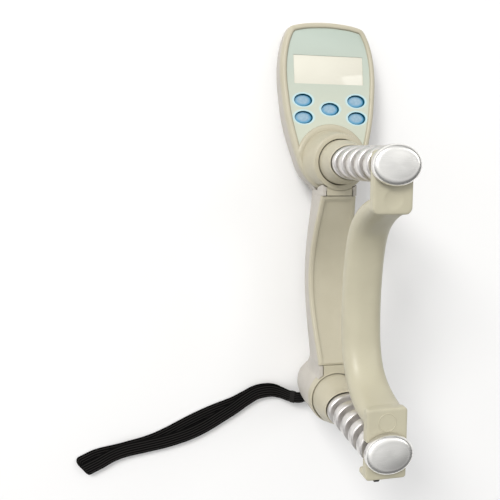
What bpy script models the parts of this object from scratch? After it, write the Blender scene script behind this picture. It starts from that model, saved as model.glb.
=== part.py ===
"""Electronic hand dynamometer, lying on its back.

X runs across the instrument, +Y points from the lower post to the display and
+Z points up along the two posts.  The back of the housing rests on z = 0, and
the origin is the middle of the instrument's outline on that surface.
Lengths are in millimetres here and become metres when a mesh is made.
"""
import math

import bmesh
import bpy
from mathutils import Vector

MM = 0.001

# Overall layout
POST_SPACING = 146.0          # between the axes of the two posts
SEAM_Z = 46.0                 # where the collars enter the housing, above the rest plane
HEAD_ABOVE_POST = 87.6        # top of the head, above the upper post's axis
FOOT_R = 16.4                 # the foot is round about the lower post's axis
LENGTH = FOOT_R + POST_SPACING + HEAD_ABOVE_POST
LOWER_Y = FOOT_R - LENGTH / 2
UPPER_Y = LOWER_Y + POST_SPACING
GAP = 0.3                     # running and fitting gap between touching pieces

# Housing
WALL = 2.2
BACK_WALL = 4.1
SHELL_DEPTH = 5.0             # parting line, below the face of the head
STAGGER = 0.37                # keeps the hollow's edges off the shell's own
FLAT_TRIM = 0.8               # the curved section is cut off this far above its lowest line
FACE_AT = 40.0                # height on the head where FACE_Z is measured
FACE_Z = 22.9
FACE_SLOPE = 0.185            # the face leans back towards the top
NECK_HALF = 10.8
PALM_HALF = 13.7
NECK_LOW = 22.0               # spine begins, above the lower post's axis
NECK_HIGH = POST_SPACING - 20.0
COVER_DEPTH = 3.0             # side lip of the spine cover
FOOT_PARTING = 40.0           # seam round the foot, above the rest plane
FOOT_DOME = 12.0              # how far the back curves up at the lower end
TOP_EDGE = 3.5                # the same at the top of the head
CAP_REACH = 20.3              # from a post's axis to the end of the cap round it
NECK_START = 12.3             # from the lower post's axis to where the neck's side walls begin
BOSS_REACH = 16.6             # from the upper post's axis to the flat side of its boss
BOSS_STEP = 0.8               # from that flat side to the end of the neck's side walls
WALL_TOP = 45.4               # front edge of the neck's side walls
TONGUE_HALF = 8.0             # tongue of each cap, between the side walls
TONGUE_BACK = 42.0

# Posts
RIB_HALF_X = 12.4
RIB_HALF_Y = 9.8
NECK_R = 4.8
GROOVE_PITCH = 12.7
GROOVE = 6.3
TIP = 87.3                    # front of a post, above the seam plane
DISC = 6.0                    # thickness of the end disc
DISC_HALF_X = 12.9
DISC_HALF_Y = 10.4
POST_BASE = 20.3
SHANK_R = 8.0
POST_STEPS = 20
UPPER_SEAM_R = 13.6
LOWER_SEAM_R = 15.25

# Movable handle, seated in the outermost grooves
PLATE_HALF = 11.0
PLATE_BACK = SEAM_Z + TIP - DISC - GROOVE + 0.65
PLATE_FRONT = SEAM_Z + TIP - DISC - GAP
THROAT = NECK_R + GAP
HOOK_REACH = 14.9

# Display and keys, as (x, height above the upper post's axis)
WINDOW_HALF = 22.8
WINDOW_LOW = 48.4
WINDOW_HIGH = 66.4
KEYS = {
    "key_upper_left": (-17.4, 38.1),
    "key_upper_right": (17.4, 38.1),
    "key_lower_left": (-17.4, 27.4),
    "key_lower_right": (17.4, 27.4),
    "key_centre": (0.0, 32.8),
}
KEY_HALF_X = 5.6
KEY_HALF_Y = 3.7

# Load beam and electronics
BEAM_HALF = 6.0
BEAM_LOW = 18.0
BEAM_HIGH = 27.0
BATTERY_R = 5.1
BATTERY_LENGTH = 44.5
BATTERY_X = 6.0
BATTERY_FROM = 8.0

# Fixings
SCREWS = [(-19.0, 73.5), (19.0, 73.5), (-17.5, 13.5), (17.5, 13.5)]
STANDOFF = 9.2                # where the standoffs of the two shells meet
STRAP_PIN_R = 1.2

# Right half of the head's outline, from the top down, as (x, height above the upper post's axis)
HEAD_HALF = [(0, 87.6), (12, 86.9), (19, 85.7), (23.8, 83.9), (26.6, 79.4), (28.9, 72.7), (30.6, 63),
             (31, 52), (30.2, 41), (28.9, 29.5), (27.2, 20.5), (25, 11), (22.6, 2), (19.6, -6),
             (14.6, -12.8), (8, -17.2), (0, -19)]


# ---------------------------------------------------------------- materials

def material(name, colour, roughness, metallic=0.0):
    mat = bpy.data.materials.get(name) or bpy.data.materials.new(name)
    mat.use_nodes = True
    shader = mat.node_tree.nodes["Principled BSDF"]
    shader.inputs["Base Color"].default_value = (*colour, 1.0)
    shader.inputs["Roughness"].default_value = roughness
    shader.inputs["Metallic"].default_value = metallic
    return mat


def cream():
    return material("cream_plastic", (0.62, 0.56, 0.42), 0.45)


def grey_cream():
    return material("grey_cream_plastic", (0.52, 0.48, 0.42), 0.5)


def label_film():
    return material("label_film", (0.55, 0.6, 0.58), 0.4)


def clear_window():
    return material("window_plastic", (0.8, 0.8, 0.72), 0.2)


def blue_rubber():
    return material("blue_rubber", (0.25, 0.45, 0.66), 0.5)


def aluminium():
    return material("turned_aluminium", (0.8, 0.79, 0.77), 0.3, 1.0)


def steel():
    return material("plated_steel", (0.6, 0.6, 0.6), 0.35, 1.0)


def board_green():
    return material("circuit_board", (0.03, 0.2, 0.08), 0.5)


def black_plastic():
    return material("black_plastic", (0.02, 0.02, 0.02), 0.5)


def webbing():
    return material("black_webbing", (0.02, 0.018, 0.018), 0.85)


def battery_skin():
    return material("battery_skin", (0.1, 0.1, 0.35), 0.4)


def gauge_foil():
    return material("gauge_foil", (0.7, 0.4, 0.15), 0.4, 0.6)


# ---------------------------------------------------------------- mesh tools

def make(name, points, faces, mat, origin=(0, 0, 0)):
    """One object from points in millimetres, with its origin at the given point."""
    centre = Vector(origin)
    mesh = bpy.data.meshes.new(name)
    mesh.from_pydata([(Vector(p) - centre) * MM for p in points], [], faces)
    work = bmesh.new()
    work.from_mesh(mesh)
    bmesh.ops.triangulate(work, faces=work.faces)
    work.to_mesh(mesh)
    work.free()
    mesh.shade_smooth()
    mesh.set_sharp_from_angle(angle=math.radians(32))
    mesh.materials.append(mat)
    obj = bpy.data.objects.new(name, mesh)
    obj.location = centre * MM
    bpy.context.scene.collection.objects.link(obj)
    return obj


def loft(name, rings, mat, origin=(0, 0, 0)):
    """Skin closed rings of equal length, counter-clockwise from above, and cap both ends."""
    count = len(rings[0])
    points = [p for ring in rings for p in ring]
    faces = []
    for k in range(len(rings) - 1):
        for i in range(count):
            j = (i + 1) % count
            faces.append((k * count + i, k * count + j, (k + 1) * count + j, (k + 1) * count + i))
    faces.append(tuple(reversed(range(count))))
    faces.append(tuple(range((len(rings) - 1) * count, len(rings) * count)))
    return make(name, points, faces, mat, origin)


def circle(radius, z, x=0.0, y=0.0, steps=32):
    turn = [2 * math.pi * i / steps for i in range(steps)]
    return [(x + radius * math.cos(a), y + radius * math.sin(a), z) for a in turn]


def turned(name, profile, mat, x=0.0, y=0.0, steps=32, origin=(0, 0, 0)):
    """A round piece about a vertical axis, from (radius, z) pairs."""
    return loft(name, [circle(r, z, x, y, steps) for r, z in profile], mat, origin)


def rounded_box(x0, x1, y0, y1, radius, steps=4):
    """Outline of a rectangle with round corners, counter-clockwise."""
    outline = []
    for cx, cy, start in ((x1 - radius, y0 + radius, -90), (x1 - radius, y1 - radius, 0),
                          (x0 + radius, y1 - radius, 90), (x0 + radius, y0 + radius, 180)):
        for i in range(steps + 1):
            a = math.radians(start + 90 * i / steps)
            outline.append((cx + radius * math.cos(a), cy + radius * math.sin(a)))
    return outline


def inset(outline, distance):
    """Move each point of a counter-clockwise outline inwards along its normal."""
    moved = []
    for i, (x, y) in enumerate(outline):
        ax, ay = outline[i - 1]
        bx, by = outline[(i + 1) % len(outline)]
        run = math.hypot(bx - ax, by - ay)
        moved.append((x - (by - ay) / run * distance, y + (bx - ax) / run * distance))
    return moved


def slab(name, outline, z0, z1, mat, edge=0.0, origin=(0, 0, 0)):
    """An outline given thickness, with chamfered edges when edge is above zero."""
    levels = [(0, z0), (0, z1)]
    if edge:
        levels = [(edge, z0), (0, z0 + edge), (0, z1 - edge), (edge, z1)]
    rings = [[(x, y, z) for x, y in (inset(outline, d) if d else outline)] for d, z in levels]
    return loft(name, rings, mat, origin)


def box(name, low, high, mat, origin=(0, 0, 0)):
    outline = [(low[0], low[1]), (high[0], low[1]), (high[0], high[1]), (low[0], high[1])]
    return slab(name, outline, low[2], high[2], mat, origin=origin)


def smooth_curve(points, per_span, closed=False):
    """Points along a Catmull-Rom curve through the given points."""
    count = len(points)
    spans = count if closed else count - 1
    out = []
    for k in range(spans):
        if closed:
            p = [Vector(points[(k + d) % count]) for d in (-1, 0, 1, 2)]
        else:
            p = [Vector(points[min(max(k + d, 0), count - 1)]) for d in (-1, 0, 1, 2)]
        for i in range(per_span):
            t = i / per_span
            curve = 2 * p[1] + (p[2] - p[0]) * t
            curve = curve + (2 * p[0] - 5 * p[1] + 4 * p[2] - p[3]) * t * t
            out.append((curve + (3 * p[1] - p[0] - 3 * p[2] + p[3]) * t * t * t) / 2)
    if not closed:
        out.append(Vector(points[-1]))
    return out


def combine(obj, tool, operation):
    """Boolean the tool into the object; the tool stays as a hidden construction body."""
    tool.hide_render = True
    tool.display_type = "WIRE"
    mod = obj.modifiers.new(operation.lower() + "_" + tool.name, "BOOLEAN")
    mod.operation = operation
    mod.solver = "EXACT"
    mod.object = tool


def cut(obj, tool):
    combine(obj, tool, "DIFFERENCE")


def unite(obj, tool):
    combine(obj, tool, "UNION")


# ---------------------------------------------------------------- shape rules

def face_z(y):
    """Height of the head's face at y."""
    return FACE_Z - FACE_SLOPE * (y - UPPER_Y - FACE_AT)


def on_face(x, up, height):
    """A point square to the face: across, above the upper post's axis, and out of the face."""
    lean = math.atan(FACE_SLOPE)
    run = (up - FACE_AT) / math.cos(lean)
    y = UPPER_Y + FACE_AT + run * math.cos(lean) + height * math.sin(lean)
    return (x, y, FACE_Z - run * math.sin(lean) + height * math.cos(lean))


def face_slab(name, outline, low, high, mat, edge=0.0, origin=(0, 0, 0)):
    """An outline drawn on the leaning face, given thickness square to it."""
    levels = [(0, low), (0, high)]
    if edge:
        levels = [(0, low), (0, high - edge), (edge, high)]
    rings = [[on_face(x, y, h) for x, y in (inset(outline, d) if d else outline)] for d, h in levels]
    return loft(name, rings, mat, origin)


def head_outline():
    right = [(x, UPPER_Y + y) for x, y in reversed(HEAD_HALF)]
    left = [(-x, y) for x, y in reversed(right[1:-1])]
    return [tuple(p) for p in smooth_curve(right + left, 2, closed=True)]


def bow(y):
    """0 at both ends of the spine and 1 in its middle."""
    t = (y - LOWER_Y - NECK_LOW) / (NECK_HIGH - NECK_LOW)
    return math.sin(math.pi * min(max(t, 0.0), 1.0))


def spine_half(y):
    return NECK_HALF + (PALM_HALF - NECK_HALF) * bow(y)


def spine_front(y):
    return SEAM_Z - 1.5 - 14.0 * bow(y) ** 1.2


def blend(a, b, t):
    t = min(max(t, 0.0), 1.0)
    return a + (b - a) * t * t * (3 - 2 * t)


def half_width(y):
    """Half the housing's width along the instrument."""
    up = y - UPPER_Y
    down = y - LOWER_Y
    widths = [spine_half(y)] if 0 < down < POST_SPACING else []
    if abs(down) < FOOT_R:
        widths.append(math.sqrt(FOOT_R ** 2 - down ** 2))
    for (x1, y1), (x0, y0) in zip(HEAD_HALF, HEAD_HALF[1:]):
        if y0 <= up <= y1:
            widths.append(x0 + (x1 - x0) * (up - y0) / (y1 - y0))
    return max(widths)


def edge_curve(past, run):
    """0 before an edge begins, rising along a quarter circle to 1 where it ends."""
    t = min(max(past / run, 0.0), 1.0)
    return 1 - math.sqrt(1 - t * t)


def back_z(y):
    """Height of the housing's back above the rest plane."""
    down = y - LOWER_Y
    spine = 12.0 - 2.5 * bow(y)
    foot = blend(0.0, spine, (down - 4.0) / 18.0)
    rise = FOOT_DOME * edge_curve(-down, FOOT_R)
    rise = rise + TOP_EDGE * edge_curve(down - (LENGTH - FOOT_R - 6.0), 6.0)
    return blend(foot, 0.0, (down - (POST_SPACING - 24.0)) / 16.0) + rise


def parting_z(y):
    """Height of the seam between the back and the front of the housing."""
    down = y - LOWER_Y
    levels = [(NECK_START, FOOT_PARTING), (CAP_REACH, WALL_TOP),
              (POST_SPACING - CAP_REACH, spine_front(y) - COVER_DEPTH),
              (POST_SPACING - BOSS_REACH - BOSS_STEP, WALL_TOP)]
    for end, level in levels:
        if down < end:
            return level
    return face_z(y) - SHELL_DEPTH


def squareness(y):
    """Exponent of the cross-section: round at the foot and spine, boxy under the display."""
    foot = blend(3.8, 3.2, (y - LOWER_Y - 4.0) / 18.0)
    return blend(foot, 5.0, (y - UPPER_Y) / 25.0)


def housing_ring(y, wall, top, back=None):
    """Cross-section of the rear housing, pulled in by a wall thickness."""
    half = max(half_width(y) - wall, 0.6)
    bottom = back_z(y) + (back if back is not None else wall)
    height = parting_z(y) - bottom
    power = 2.0 / squareness(y)
    ring = []
    steps = 12
    for i in range(steps + 1):
        a = math.pi * i / steps
        x = half * math.copysign(abs(math.cos(a)) ** power, math.cos(a))
        drop = min((height + FLAT_TRIM) * math.sin(a) ** power, height)
        ring.append((x, y, parting_z(y) - drop))
    if top:
        ring = [(half, y, top)] + ring + [(-half, y, top)]
    return ring


# ---------------------------------------------------------------- housing

def spine_stations():
    return [LOWER_Y + NECK_LOW + 2.5 + 10.2 * i for i in range(10)]


def housing_stations(low, high):
    """Places along the housing, closer together where its shape changes."""
    ends = [-1.0, -0.98, -0.93, -0.84, -0.7, -0.5, -0.25, 0.0, 0.3, 0.55]
    foot = [LOWER_Y + FOOT_R * t for t in ends]
    steps = (NECK_START, CAP_REACH, POST_SPACING - CAP_REACH, POST_SPACING - BOSS_REACH - BOSS_STEP)
    foot = foot + [LOWER_Y + at + d for at in steps for d in (-0.01, 0.01)]
    spine = [LOWER_Y + 16.5] + spine_stations()
    ups = [-15.6, -12.8, -9, -4, 2, 11, 22, 36, 52, 64, 73, 79.4, 82, 84, 85.2, 86.1, 86.9]
    head = [UPPER_Y + t for t in ups]
    return [low] + sorted(y for y in foot + spine + head if low + 0.1 < y < high - 0.1) + [high]


def rear_housing():
    low = LOWER_Y - FOOT_R + 0.1
    high = UPPER_Y + HEAD_ABOVE_POST - 0.15
    rings = [housing_ring(y, 0.0, 0.0) for y in housing_stations(low, high)]
    shell = loft("rear_housing", rings, grey_cream())
    stations = [y + STAGGER for y in housing_stations(low + WALL, high - WALL)]
    hollow = loft("cut_hollow", [housing_ring(y, WALL, SEAM_Z + 4, BACK_WALL if y > UPPER_Y - 4 else WALL)
                                 for y in stations], grey_cream())
    cut(shell, hollow)
    seat = [(FOOT_R + GAP, FOOT_PARTING + 0.1), (FOOT_R + GAP, SEAM_Z + 6)]
    cut(shell, turned("cut_cap_seat", seat, steel(), y=LOWER_Y, steps=40))
    cut(shell, pin_body("cut_pin_hole", STRAP_PIN_R + 0.15, -22, -2.6))
    cut(shell, box("cut_door_pocket", (-13.4, UPPER_Y - 6, -1), (13.4, UPPER_Y + 57.4, 2.3), steel()))
    cut(shell, box("cut_battery_bay", (-11.8, UPPER_Y + 6.3, 1), (11.8, UPPER_Y + 55.7, 12), steel()))
    cut(shell, box("cut_strap_slot", (-21, LOWER_Y - 13.9, 8.3), (-1.2, LOWER_Y - 4.1, 14.0), steel()))
    cut(shell, turned("cut_bolt_access", [(4.6, -1), (4.6, 8)], steel(), y=LOWER_Y))
    for i, (x, up) in enumerate(SCREWS):
        y = UPPER_Y + up
        standoff = [(3.2, 3), (3.2, STANDOFF - GAP)]
        unite(shell, turned(f"add_standoff_{i + 1}", standoff, grey_cream(), x, y, 14))
        cut(shell, turned(f"cut_screw_{i + 1}", [(1.7, -1), (1.7, 12)], steel(), x, y, 14))
        cut(shell, turned(f"cut_screw_head_{i + 1}", [(3.0, -1), (3.0, 2.6)], steel(), x, y, 14))


def key_outline(x, up, grow=0.0):
    """Oval outline of one key."""
    turn = [2 * math.pi * i / 16 for i in range(16)]
    return [(x + (KEY_HALF_X + grow) * math.cos(a), up + (KEY_HALF_Y + grow) * math.sin(a)) for a in turn]


def head_front_shell():
    outline = head_outline()
    profile = [(WALL + 2.0, -2.4), (WALL, -2.6), (WALL, GAP - SHELL_DEPTH), (0, GAP - SHELL_DEPTH), (0, -1.2),
               (0.7, 0.2), (1.9, 0.7), (3.0, 0.4), (3.5, -0.5)]
    rings = [[(x, y, face_z(y) + h) for x, y in (inset(outline, d) if d else outline)] for d, h in profile]
    shell = loft("head_front_shell", rings, cream())
    unite(shell, boss_flare())
    unite(shell, box("add_tongue", (-TONGUE_HALF, UPPER_Y - CAP_REACH, TONGUE_BACK),
                     (TONGUE_HALF, UPPER_Y - 14, WALL_TOP + 0.2), cream()))
    bore = UPPER_SEAM_R + GAP
    cut(shell, turned("cut_boss_bore", [(bore, 10), (bore, 60)], steel(), y=UPPER_Y))
    cut(shell, box("cut_beam_tunnel", (-9.5, UPPER_Y - 25, 10), (9.5, UPPER_Y - 8, BEAM_HIGH + 3.0), steel()))
    for i, (x, up) in enumerate(SCREWS):
        roof = face_z(UPPER_Y + up) - 1.2
        y = UPPER_Y + up
        unite(shell, turned(f"add_screw_boss_{i + 1}", [(3.0, STANDOFF), (3.0, roof)], cream(), x, y, 14))
        cut(shell, turned(f"cut_thread_{i + 1}", [(1.5, 3), (1.5, roof - 2.2)], steel(), x, y, 14))
    opening = rounded_box(-WINDOW_HALF - 0.8, WINDOW_HALF + 0.8, WINDOW_LOW - 0.8, WINDOW_HIGH + 0.8, 1.2)
    cut(shell, face_slab("cut_window", opening, -6, 6, steel()))
    for name, (x, up) in KEYS.items():
        cut(shell, face_slab("cut_" + name, key_outline(x, up, GAP), -6, 6, steel()))


def boss_flare():
    """The boss round the upper post, flaring into the face and flattened towards the spine."""
    rings = []
    profile = [(22.0, None), (22.0, 31.0), (20.6, 34.2), (18.6, 38.4), (17.2, 42.4), (16.5, 45.0),
               (16.0, SEAM_Z)]
    for r, z in profile:
        ring = []
        for i in range(40):
            a = 2 * math.pi * i / 40
            reach = min(r, BOSS_REACH) if math.sin(a) < 0 else r
            y = UPPER_Y + reach * math.sin(a)
            ring.append((r * math.cos(a), y, face_z(y) + GAP - SHELL_DEPTH if z is None else z))
        rings.append(ring)
    return loft("add_boss", rings, cream())


def label_overlay():
    outline = inset(head_outline(), 3.9)
    rings = [[(x, y, face_z(y) + h) for x, y in outline] for h in (-0.4, 0.05)]
    label = loft("label_overlay", rings, label_film())
    cut(label, turned("cut_label_boss", [(23.2, 0), (23.2, 60)], steel(), y=UPPER_Y, steps=40))
    opening = rounded_box(-WINDOW_HALF - 0.1, WINDOW_HALF + 0.1, WINDOW_LOW - 0.1, WINDOW_HIGH + 0.1, 0.8)
    cut(label, face_slab("cut_label_window", opening, -6, 6, steel()))
    for name, (x, up) in KEYS.items():
        cut(label, face_slab("cut_label_" + name, key_outline(x, up, GAP + 0.1), -6, 6, steel()))


def spine_cover_ring(y, wall, top, side):
    """Cross-section of the spine cover: a low crowned lid."""
    half = spine_half(y) - wall
    front = spine_front(y)
    crown = [(half, side), (half, -1.0), (half - 1.2, 0.0), (half - 2.6, -0.1), (half - 4.0, -0.9),
             (0.0, -1.4)]
    right = [(x, front + h + top) for x, h in crown]
    ring = right + [(-x, z) for x, z in reversed(right[:-1])]
    return [(x, y, z) for x, z in ring]


def spine_front_cover():
    low = LOWER_Y + CAP_REACH + GAP
    high = UPPER_Y - CAP_REACH - GAP
    stations = [low] + spine_stations() + [high]
    side = GAP - COVER_DEPTH
    rings = [spine_cover_ring(y, 0.0, 0.0, side) for y in reversed(stations)]
    cover = loft("spine_front_cover", rings, cream())
    stations = [low + WALL] + spine_stations() + [high - WALL]
    hollow = [spine_cover_ring(y, WALL, -WALL + 0.3, side - 4) for y in reversed(stations)]
    cut(cover, loft("cut_spine_cover", hollow, steel()))


def lower_boss_cover():
    """Front of the foot, with the round opening for the lower collar."""
    rings = []
    for shrink, z in ((0, FOOT_PARTING + GAP), (0, 44.6), (0.4, 45.6), (1.0, SEAM_Z)):
        r = FOOT_R - shrink
        start = math.acos(TONGUE_HALF / r)
        turn = [start - (math.pi + 2 * start) * i / 36 for i in range(37)]
        ring = [(r * math.cos(a), r * math.sin(a)) for a in reversed(turn)]
        ring = ring + [(TONGUE_HALF, CAP_REACH), (-TONGUE_HALF, CAP_REACH)]
        rings.append([(x, LOWER_Y + y, z) for x, y in ring])
    cover = loft("lower_boss_cover", rings, grey_cream())
    bore = LOWER_SEAM_R + GAP
    cut(cover, turned("cut_lower_bore", [(bore, 30), (bore, 60)], steel(), y=LOWER_Y, steps=40))


def housing_screws():
    for i, (x, up) in enumerate(SCREWS):
        profile = [(2.4, 0.9), (2.7, 1.5), (2.7, 2.3), (1.25, 2.3), (1.25, 12.0), (0.5, 12.8)]
        screw = turned(f"housing_screw_{i + 1}", profile, steel(), x, UPPER_Y + up, 12)
        cut(screw, turned(f"cut_socket_{i + 1}", [(1.1, 0), (1.1, 1.8)], steel(), x, UPPER_Y + up, 6))


# ---------------------------------------------------------------- posts

def post(name, y):
    """A post of oval ribs and round necks, in one piece with its end disc."""
    rings = []

    def oval(shrink, height, half_x=RIB_HALF_X, half_y=RIB_HALF_Y):
        ring = []
        for i in range(POST_STEPS):
            a = 2 * math.pi * i / POST_STEPS
            x = (half_x - shrink) * math.cos(a)
            ring.append((x, y + (half_y - shrink) * math.sin(a), SEAM_Z + height))
        rings.append(ring)

    rings.append(circle(SHANK_R, BEAM_HIGH + GAP, 0, y, POST_STEPS))
    rings.append(circle(SHANK_R, SEAM_Z + POST_BASE, 0, y, POST_STEPS))
    bottom = POST_BASE
    for k in range(5):
        groove = TIP - DISC - GROOVE - GROOVE_PITCH * (4 - k)
        for shrink, height in ((0.7, bottom), (0.0, bottom + 0.7), (0.0, groove - 0.7), (0.7, groove)):
            oval(shrink, height)
        rings.append(circle(NECK_R, SEAM_Z + groove, 0, y, POST_STEPS))
        rings.append(circle(NECK_R, SEAM_Z + groove + GROOVE, 0, y, POST_STEPS))
        bottom = groove + GROOVE
    for shrink, height in ((0.6, bottom), (0, bottom + 0.8), (0, TIP - 2.6), (0.9, TIP - 1.0), (2.6, TIP)):
        oval(shrink, height, DISC_HALF_X, DISC_HALF_Y)
    body = loft(name, rings, aluminium())
    cut(body, turned("cut_bore_" + name, [(2.75, 20), (2.75, SEAM_Z - 4)], steel(), y=y, steps=16))


def collar(name, y, seam_radius):
    """Plastic sleeve round the foot of a post, oval where it meets the ribs."""
    outer = []
    for height, t in ((-5.5, 0.0), (6.0, 0.25), (14.0, 0.7), (18.4, 1.0), (19.0, 1.0)):
        wide = blend(seam_radius, RIB_HALF_X + 0.9, t)
        deep = blend(seam_radius, RIB_HALF_Y + 1.1, t)
        edge = 0.6 if height > 18.5 else 0.0
        ring = []
        for i in range(32):
            a = 2 * math.pi * i / 32
            ring.append(((wide - edge) * math.cos(a), y + (deep - edge) * math.sin(a), SEAM_Z + height))
        outer.append(ring)
    body = loft(name, outer, cream())
    cut(body, turned("cut_" + name, [(SHANK_R + GAP, 20), (SHANK_R + GAP, 80)], steel(), y=y))


def post_bolt(name, y):
    profile = [(2.6, 11.8), (4.2, 12.4), (4.2, 17.6), (2.4, 17.6), (2.4, 38.0), (1.6, 39.0)]
    bolt = turned(name, profile, steel(), y=y, steps=20)
    socket = turned("cut_socket_" + name, [(1.9, 10), (1.9, 15)], steel(), y=y, steps=6)
    cut(bolt, socket)


# ---------------------------------------------------------------- load cell

def load_beam():
    outline = rounded_box(-BEAM_HALF, BEAM_HALF, LOWER_Y - 9, UPPER_Y + 9, 3.0)
    beam = slab("load_beam", outline, BEAM_LOW, BEAM_HIGH, aluminium())
    for k, y in enumerate((LOWER_Y, UPPER_Y)):
        cut(beam, turned(f"cut_beam_hole_{k}", [(2.7, 10), (2.7, 40)], steel(), y=y, steps=20))
    for k, (low, high) in enumerate(((BEAM_LOW - 2, BEAM_LOW + 2), (BEAM_HIGH - 2, BEAM_HIGH + 2))):
        y = LOWER_Y + POST_SPACING / 2
        cut(beam, box(f"cut_beam_waist_{k}", (-9, y - 24, low), (9, y + 24, high), steel()))


def strain_gauges():
    y = LOWER_Y + POST_SPACING / 2
    for i in range(4):
        along = y + (-12 if i % 2 else 12)
        low = BEAM_HIGH - 2 + 0.1 if i < 2 else BEAM_LOW + 2 - 0.4
        box(f"strain_gauge_{i + 1}", (-2.5, along - 4, low), (2.5, along + 4, low + 0.3), gauge_foil())


def signal_cable():
    """Lead from the strain gauges to the circuit board, clipped beside the beam."""
    y = LOWER_Y + POST_SPACING / 2
    route = [(3.6, y + 14, 26.0), (6.6, y + 17.5, 25.8), (7.35, y + 25, 25.0), (7.35, y + 38, 25.5),
             (7.35, UPPER_Y - 26, 28.2), (7.35, UPPER_Y - 17, 28.2), (7.35, UPPER_Y - 9, 25.4),
             (7.35, UPPER_Y, 24.4),
             (7.35, UPPER_Y + 9, 23.4), (7.35, UPPER_Y + 15, 20.4), (7.35, UPPER_Y + 20.5, 17.6)]
    line = smooth_curve(route, 2)
    rings = []
    for i, p in enumerate(line):
        along = (line[min(i + 1, len(line) - 1)] - line[max(i - 1, 0)]).normalized()
        side = along.cross(Vector((0, 0, 1))).normalized()
        over = side.cross(along)
        turn = [2 * math.pi * k / 8 for k in range(8)]
        rings.append([tuple(p + side * (0.8 * math.cos(a)) + over * (0.8 * math.sin(a))) for a in turn])
    loft("signal_cable", list(reversed(rings)), black_plastic())


# ---------------------------------------------------------------- display and keys

def display():
    window = rounded_box(-WINDOW_HALF - 0.5, WINDOW_HALF + 0.5, WINDOW_LOW - 0.5, WINDOW_HIGH + 0.5, 1.0)
    face_slab("display_window", window, -1.7, -0.5, clear_window())
    module = rounded_box(-WINDOW_HALF - 0.3, WINDOW_HALF + 0.3, WINDOW_LOW - 1.6, WINDOW_HIGH + 1.6, 0.8, 2)
    face_slab("lcd_module", module, -5.3, -2.9, clear_window())
    board = rounded_box(-20.5, 20.5, 19.5, 69.0, 1.5, 2)
    face_slab("circuit_board", board, -7.2, -5.6, board_green())
    mat = rounded_box(-24.0, 24.0, 24.0, 43.6, 2.0, 2)
    face_slab("keypad_mat", mat, -5.3, -4.4, blue_rubber())
    plug = rounded_box(4.3, 10.3, 22.6, 26.6, 0.4, 1)
    face_slab("signal_connector", plug, -10.2, -7.5, black_plastic())


def keys():
    for name, (x, up) in KEYS.items():
        flange = [on_face(px, py, -3.3) for px, py in key_outline(x, up, 0.9)]
        flange_top = [on_face(px, py, -2.8) for px, py in key_outline(x, up, 0.9)]
        body_low = [on_face(px, py, -2.8) for px, py in key_outline(x, up)]
        body_high = [on_face(px, py, -0.7) for px, py in key_outline(x, up)]
        crown = [on_face(px, py, -0.2) for px, py in key_outline(x, up, -0.8)]
        rings = [flange, flange_top, body_low, body_high, crown]
        loft(name, rings, blue_rubber(), origin=on_face(x, up, 0.0))


# ---------------------------------------------------------------- power

def power():
    for i, side in enumerate((-1, 1)):
        x = side * BATTERY_X
        y = UPPER_Y + BATTERY_FROM
        cell = [(BATTERY_R - 0.5, y + 0.4), (BATTERY_R, y + 0.9), (BATTERY_R, y + BATTERY_LENGTH - 1.6),
                (BATTERY_R - 0.7, y + BATTERY_LENGTH - 1.0), (1.9, y + BATTERY_LENGTH - 1.0),
                (1.9, y + BATTERY_LENGTH)]
        rings = []
        for r, at in reversed(cell):
            turn = [2 * math.pi * k / 24 for k in range(24)]
            rings.append([(x + r * math.cos(a), at, 8.0 + r * math.sin(a)) for a in turn])
        loft(f"battery_{i + 1}", rings, battery_skin())
    for name, at in (("battery_contact_minus", 6.9), ("battery_contact_plus", 53.2)):
        box(name, (-10.5, UPPER_Y + at, 4.6), (10.5, UPPER_Y + at + 0.6, 12.4), steel())
    outline = rounded_box(-13.1, 13.1, UPPER_Y + 4, UPPER_Y + 57.1, 0.8, 2)
    slab("battery_door", outline, 0.35, 2.0, grey_cream(), edge=0.3, origin=(0, UPPER_Y + 4, 1.2))


# ---------------------------------------------------------------- movable handle

ARM = [(79, 16.5), (70, 17.2), (61, 19.5), (53, 24.5), (46, 33), (41.5, 44), (39.8, 58), (40, 74), (42, 90),
       (45.5, 103), (51, 112.5), (59.5, 119.3), (69, 123.6), (79, 126.3)]


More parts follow.
